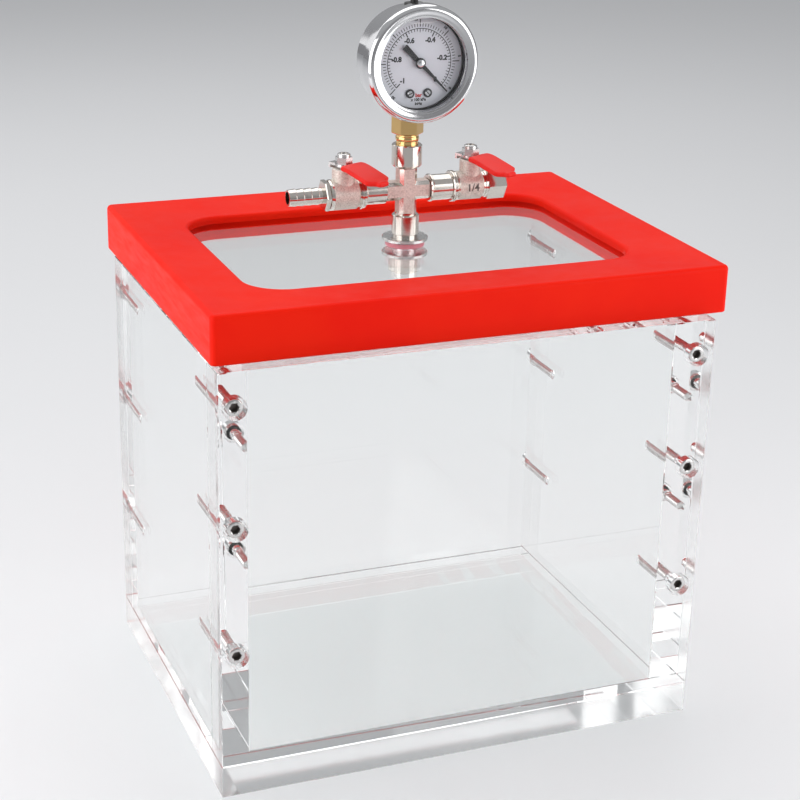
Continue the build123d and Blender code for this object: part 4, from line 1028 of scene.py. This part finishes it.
def makeLevel():
    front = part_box("gauge_glass")[1].y + level["behind"] * mm
    work = bmesh.new()
    rows = []
    for k in range(level["steps"] + 1):
        share = 2 * k / level["steps"] - 1
        x = level["half"] * share
        z = level["height"] + level["rise"] * share ** 4
        wide = level["width"] * (1.0 - level["thin"] * share * share)
        thick = level["thick"]
        rows.append([work.verts.new((dialCentre.x + x * mm, front + y * mm, dialCentre.z + (z + w) * mm))
                     for y, w in ((0, -wide / 2), (0, wide / 2), (thick, wide / 2), (thick, -wide / 2))])
    skin(work, rows)
    settle("fillLevelHighlight", work, "gauge_glass", material=levelHighlight)


makeLevel()

# The bezel: a rolled bead outside, a shallow dish, and a rolled lip round the window.
bezel = {
    "bead": 3.6, "crown": 31.6, "dish": 0.4, "dishEnd": 28.1, "lip": 0.12, "opening": 27.2, "glassGap": 0.02,
    "wall": 1.45, "hem": 3.05, "hemThick": 0.6, "steps": 10, "segments": 128,
}


def makeBezel():
    low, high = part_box("gauge_bezel")
    outer = (high.x - low.x) / 2 / mm
    back = (high.y - low.y) / mm
    floor = (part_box("gauge_glass")[0].y - low.y) / mm - bezel["glassGap"]
    inside, hem = outer - bezel["wall"], outer - bezel["hem"]
    crown, dishEnd, steps = bezel["crown"], bezel["dishEnd"], bezel["steps"]
    profile = [(back, hem), (back, outer)]
    for k in range(steps + 1):
        a = math.pi / 2 * k / steps
        profile.append((bezel["bead"] * (1 - math.sin(a)), crown + (outer - crown) * math.cos(a)))
    for k in range(1, steps):
        share = k / steps
        profile.append((bezel["dish"] * share * share * (3 - 2 * share), crown + (dishEnd - crown) * share))
    half = (dishEnd - bezel["opening"]) / 2
    for k in range(steps + 1):
        sweep = 1 - math.cos(math.pi * k / steps)
        profile.append((bezel["dish"] + bezel["lip"] * sweep / 2, dishEnd - half * sweep))
    profile += [(floor, bezel["opening"]), (floor, inside),
                (back - bezel["hemThick"], inside), (back - bezel["hemThick"], hem)]
    thing = lathe(inMetres(profile), (dialCentre.x, low.y, dialCentre.z), (0, 1, 0), bezel["segments"], loop=True)
    ring = settle("bezelRing", thing, "gauge_steel")
    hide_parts("gauge_bezel")


makeBezel()

# A bright face on each dial screw with a black bar of painted shade for its slot, a black ring of painted shade along
# the case's inner wall behind the window, and the bezel's thin inner edge.
screwFace = {"radius": 1.75, "rise": 0.15, "rim": 0.2, "sink": 0.02, "slot": 0.5, "slotSpan": (0.18, 0.10),
             "leans": {"dialScrewLeft": 25.0, "dialScrewRight": -50.0}}
paintedShadeRing = {"outer": 27.15, "inner": 26.5, "start": 0.02, "dialGap": 0.2}
innerEdge = {"radius": 27.0, "thick": 0.3, "proud": 1.2, "steps": 12}


def makeDialScrews():
    low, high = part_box("dial_screws")
    reach = (high.z - low.z) / 2
    middle = (low.z + high.z) / 2
    radius, rise = screwFace["radius"], screwFace["rise"]
    sites = {"dialScrewLeft": low.x + reach, "dialScrewRight": high.x - reach}
    dark = bmesh.new()
    for name, x in sites.items():
        centre = Vector((x, low.y, middle))
        face = lathe(inMetres([(-screwFace["sink"], 0), (-screwFace["sink"], radius),
                               (rise, radius - screwFace["rim"]), (rise, 0)]), centre, (0, -1, 0), 32)
        settle(name, face, "gauge_steel")
        a = math.radians(screwFace["leans"][name])
        ahead = Vector((math.cos(a), 0, math.sin(a))) * radius * mm
        aside = Vector((-math.sin(a), 0, math.cos(a))) * screwFace["slot"] / 2 * mm
        # Each slot is a black bar of painted shade standing proud across the face, not a cut.
        rings = []
        for y in screwFace["slotSpan"]:
            out = Vector((0, -y * mm, 0))
            rings.append([dark.verts.new(centre + out + i * ahead + j * aside)
                          for i, j in ((-1, -1), (1, -1), (1, 1), (-1, 1))])
        skin(dark, rings)
    settle("dialScrewSlotShades", dark, "dial_black")


def makeShadeRingAndEdge():
    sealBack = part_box("glass_seal")[1].y
    start, end = paintedShadeRing["start"] * mm, dialLow.y - paintedShadeRing["dialGap"] * mm - sealBack
    inner, outer = paintedShadeRing["inner"] * mm, paintedShadeRing["outer"] * mm
    # The black ring below is painted shade along the case's inner wall, between the glass seal and the dial.
    lip = lathe([(start, inner), (start, outer), (end, outer), (end, inner)],
                (dialCentre.x, sealBack, dialCentre.z), (0, 1, 0), 96, loop=True)
    settle("paintedShadeRing", lip, "black_rubber")
    thick = innerEdge["thick"] * mm / 2
    loop = [(thick * math.cos(a), innerEdge["radius"] * mm + thick * math.sin(a))
            for a in (2 * math.pi * k / innerEdge["steps"] for k in range(innerEdge["steps"]))]
    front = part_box("gauge_glass")[0].y - thick * innerEdge["proud"]
    edge = lathe(loop, (dialCentre.x, front, dialCentre.z), (0, 1, 0), 96, loop=True)
    settle("bezelEdge", edge, "gauge_steel")


makeDialScrews()
makeShadeRingAndEdge()
print("dial made")

# Raised size mark on the vent valve, its letters coloured dark: painted shade for the shadows along their raised
# edges
sizeMark = {
    "text": "1/4", "height": 4.6, "weight": 0.012, "rise": 0.22, "cuts": 4,
    "along": 40.5 * mm, "radius": 8.8 * mm,  # where it is wrapped round the body
}


def makeSizeMark():
    work = bmesh.new()

    def wrap(x, z, lift):
        a = z * mm / sizeMark["radius"]
        out = sizeMark["radius"] + lift
        return crossCentre + Vector((sizeMark["along"] + x * mm, -out * math.cos(a), out * math.sin(a)))
    addText(work, sizeMark["text"], 0, 0, sizeMark["height"], wrap, sizeMark["weight"], 0.0,
            sizeMark["rise"], sizeMark["cuts"])
    settle("sizeMark", work, "nickel", material=paintedShade)


makeSizeMark()
print("size mark made")

# Studio: pale floor, soft lamps, camera
studio = {
    "floorSize": 8.0, "gap": 0.3 * mm,
    "sky": ((0.0, rgb(0.28, 0.28, 0.29)), (0.7, rgb(0.46, 0.47, 0.48))),  # from the horizon up
    "bounces": 32,  # the thick plates pass light through many faces
    "lamps": (
        # name, place, wide, high, power
        ("leftLamp", (-0.86, -0.14, 0.47), 0.9, 0.78, 4.9),
        ("rightLamp", (0.72, -0.58, 0.47), 0.9, 0.78, 4.9),
        ("topLamp", (0.1, 0.9, 2.1), 2.2, 2.2, 22.0),
        ("rimLamp", (-1.3, 1.5, 1.05), 1.5, 1.1, 4.0),
    ),
    "aim": Vector((0.0, 0.0, 0.34)),
}


def makeFloor():
    half = studio["floorSize"] / 2
    z = -studio["gap"]
    mesh = bpy.data.meshes.new("floor")
    mesh.from_pydata([(-half, -half, z), (half, -half, z), (half, half, z), (-half, half, z)], [], [(0, 1, 2, 3)])
    mesh.materials.append(makePlain("floorPaper"))
    floor = bpy.data.objects.new("floor", mesh)
    bpy.context.scene.collection.objects.link(floor)


def makeSky():
    world = bpy.data.worlds.new("studio")
    bpy.context.scene.world = world
    bench = Bench("studio", world)
    height = bench.split(bench.node("ShaderNodeTexCoord", {}, {})["Generated"])["Z"]
    tone = bench.node("ShaderNodeValToRGB", {"stops": studio["sky"]}, [height])["Color"]
    light = bench.node("ShaderNodeBackground", {}, {"Color": tone})["Background"]
    bench.node("ShaderNodeOutputWorld", {}, {"Surface": light})


def makeLamps():
    for name, spot, wide, high, power in studio["lamps"]:
        lamp = bpy.data.lights.new(name, "AREA")
        lamp.shape = "RECTANGLE"
        lamp.energy = power
        lamp.size = wide
        lamp.size_y = high
        holder = bpy.data.objects.new(name, lamp)
        holder.location = spot
        holder.rotation_euler = (studio["aim"] - Vector(spot)).to_track_quat("-Z", "Y").to_euler()
        bpy.context.scene.collection.objects.link(holder)


view = {"spot": (-0.4050, -1.0072, 0.5949), "yaw": 21.896, "pitch": 20.711, "roll": 1.338, "lens": 84.46}


def makeCamera():
    yaw, pitch, roll = (math.radians(view[k]) for k in ("yaw", "pitch", "roll"))
    ahead = Vector((math.sin(yaw) * math.cos(pitch), math.cos(yaw) * math.cos(pitch), -math.sin(pitch)))
    right = Vector((math.cos(yaw), -math.sin(yaw), 0))
    up = right.cross(ahead)
    right, up = right * math.cos(roll) + up * math.sin(roll), up * math.cos(roll) - right * math.sin(roll)
    lens = bpy.data.cameras.new("camera")
    lens.lens = view["lens"]
    camera = bpy.data.objects.new("camera", lens)
    camera.matrix_world = Matrix.Translation(view["spot"]) @ Matrix((right, up, -ahead)).transposed().to_4x4()
    bpy.context.scene.collection.objects.link(camera)
    bpy.context.scene.camera = camera


makeFloor()
makeSky()
makeLamps()
makeCamera()
scene = bpy.context.scene
scene.view_settings.view_transform = "Standard"
scene.cycles.max_bounces = studio["bounces"]
scene.cycles.transmission_bounces = studio["bounces"]
scene.cycles.glossy_bounces = studio["bounces"]
scene.cycles.transparent_max_bounces = studio["bounces"]
print("studio made")
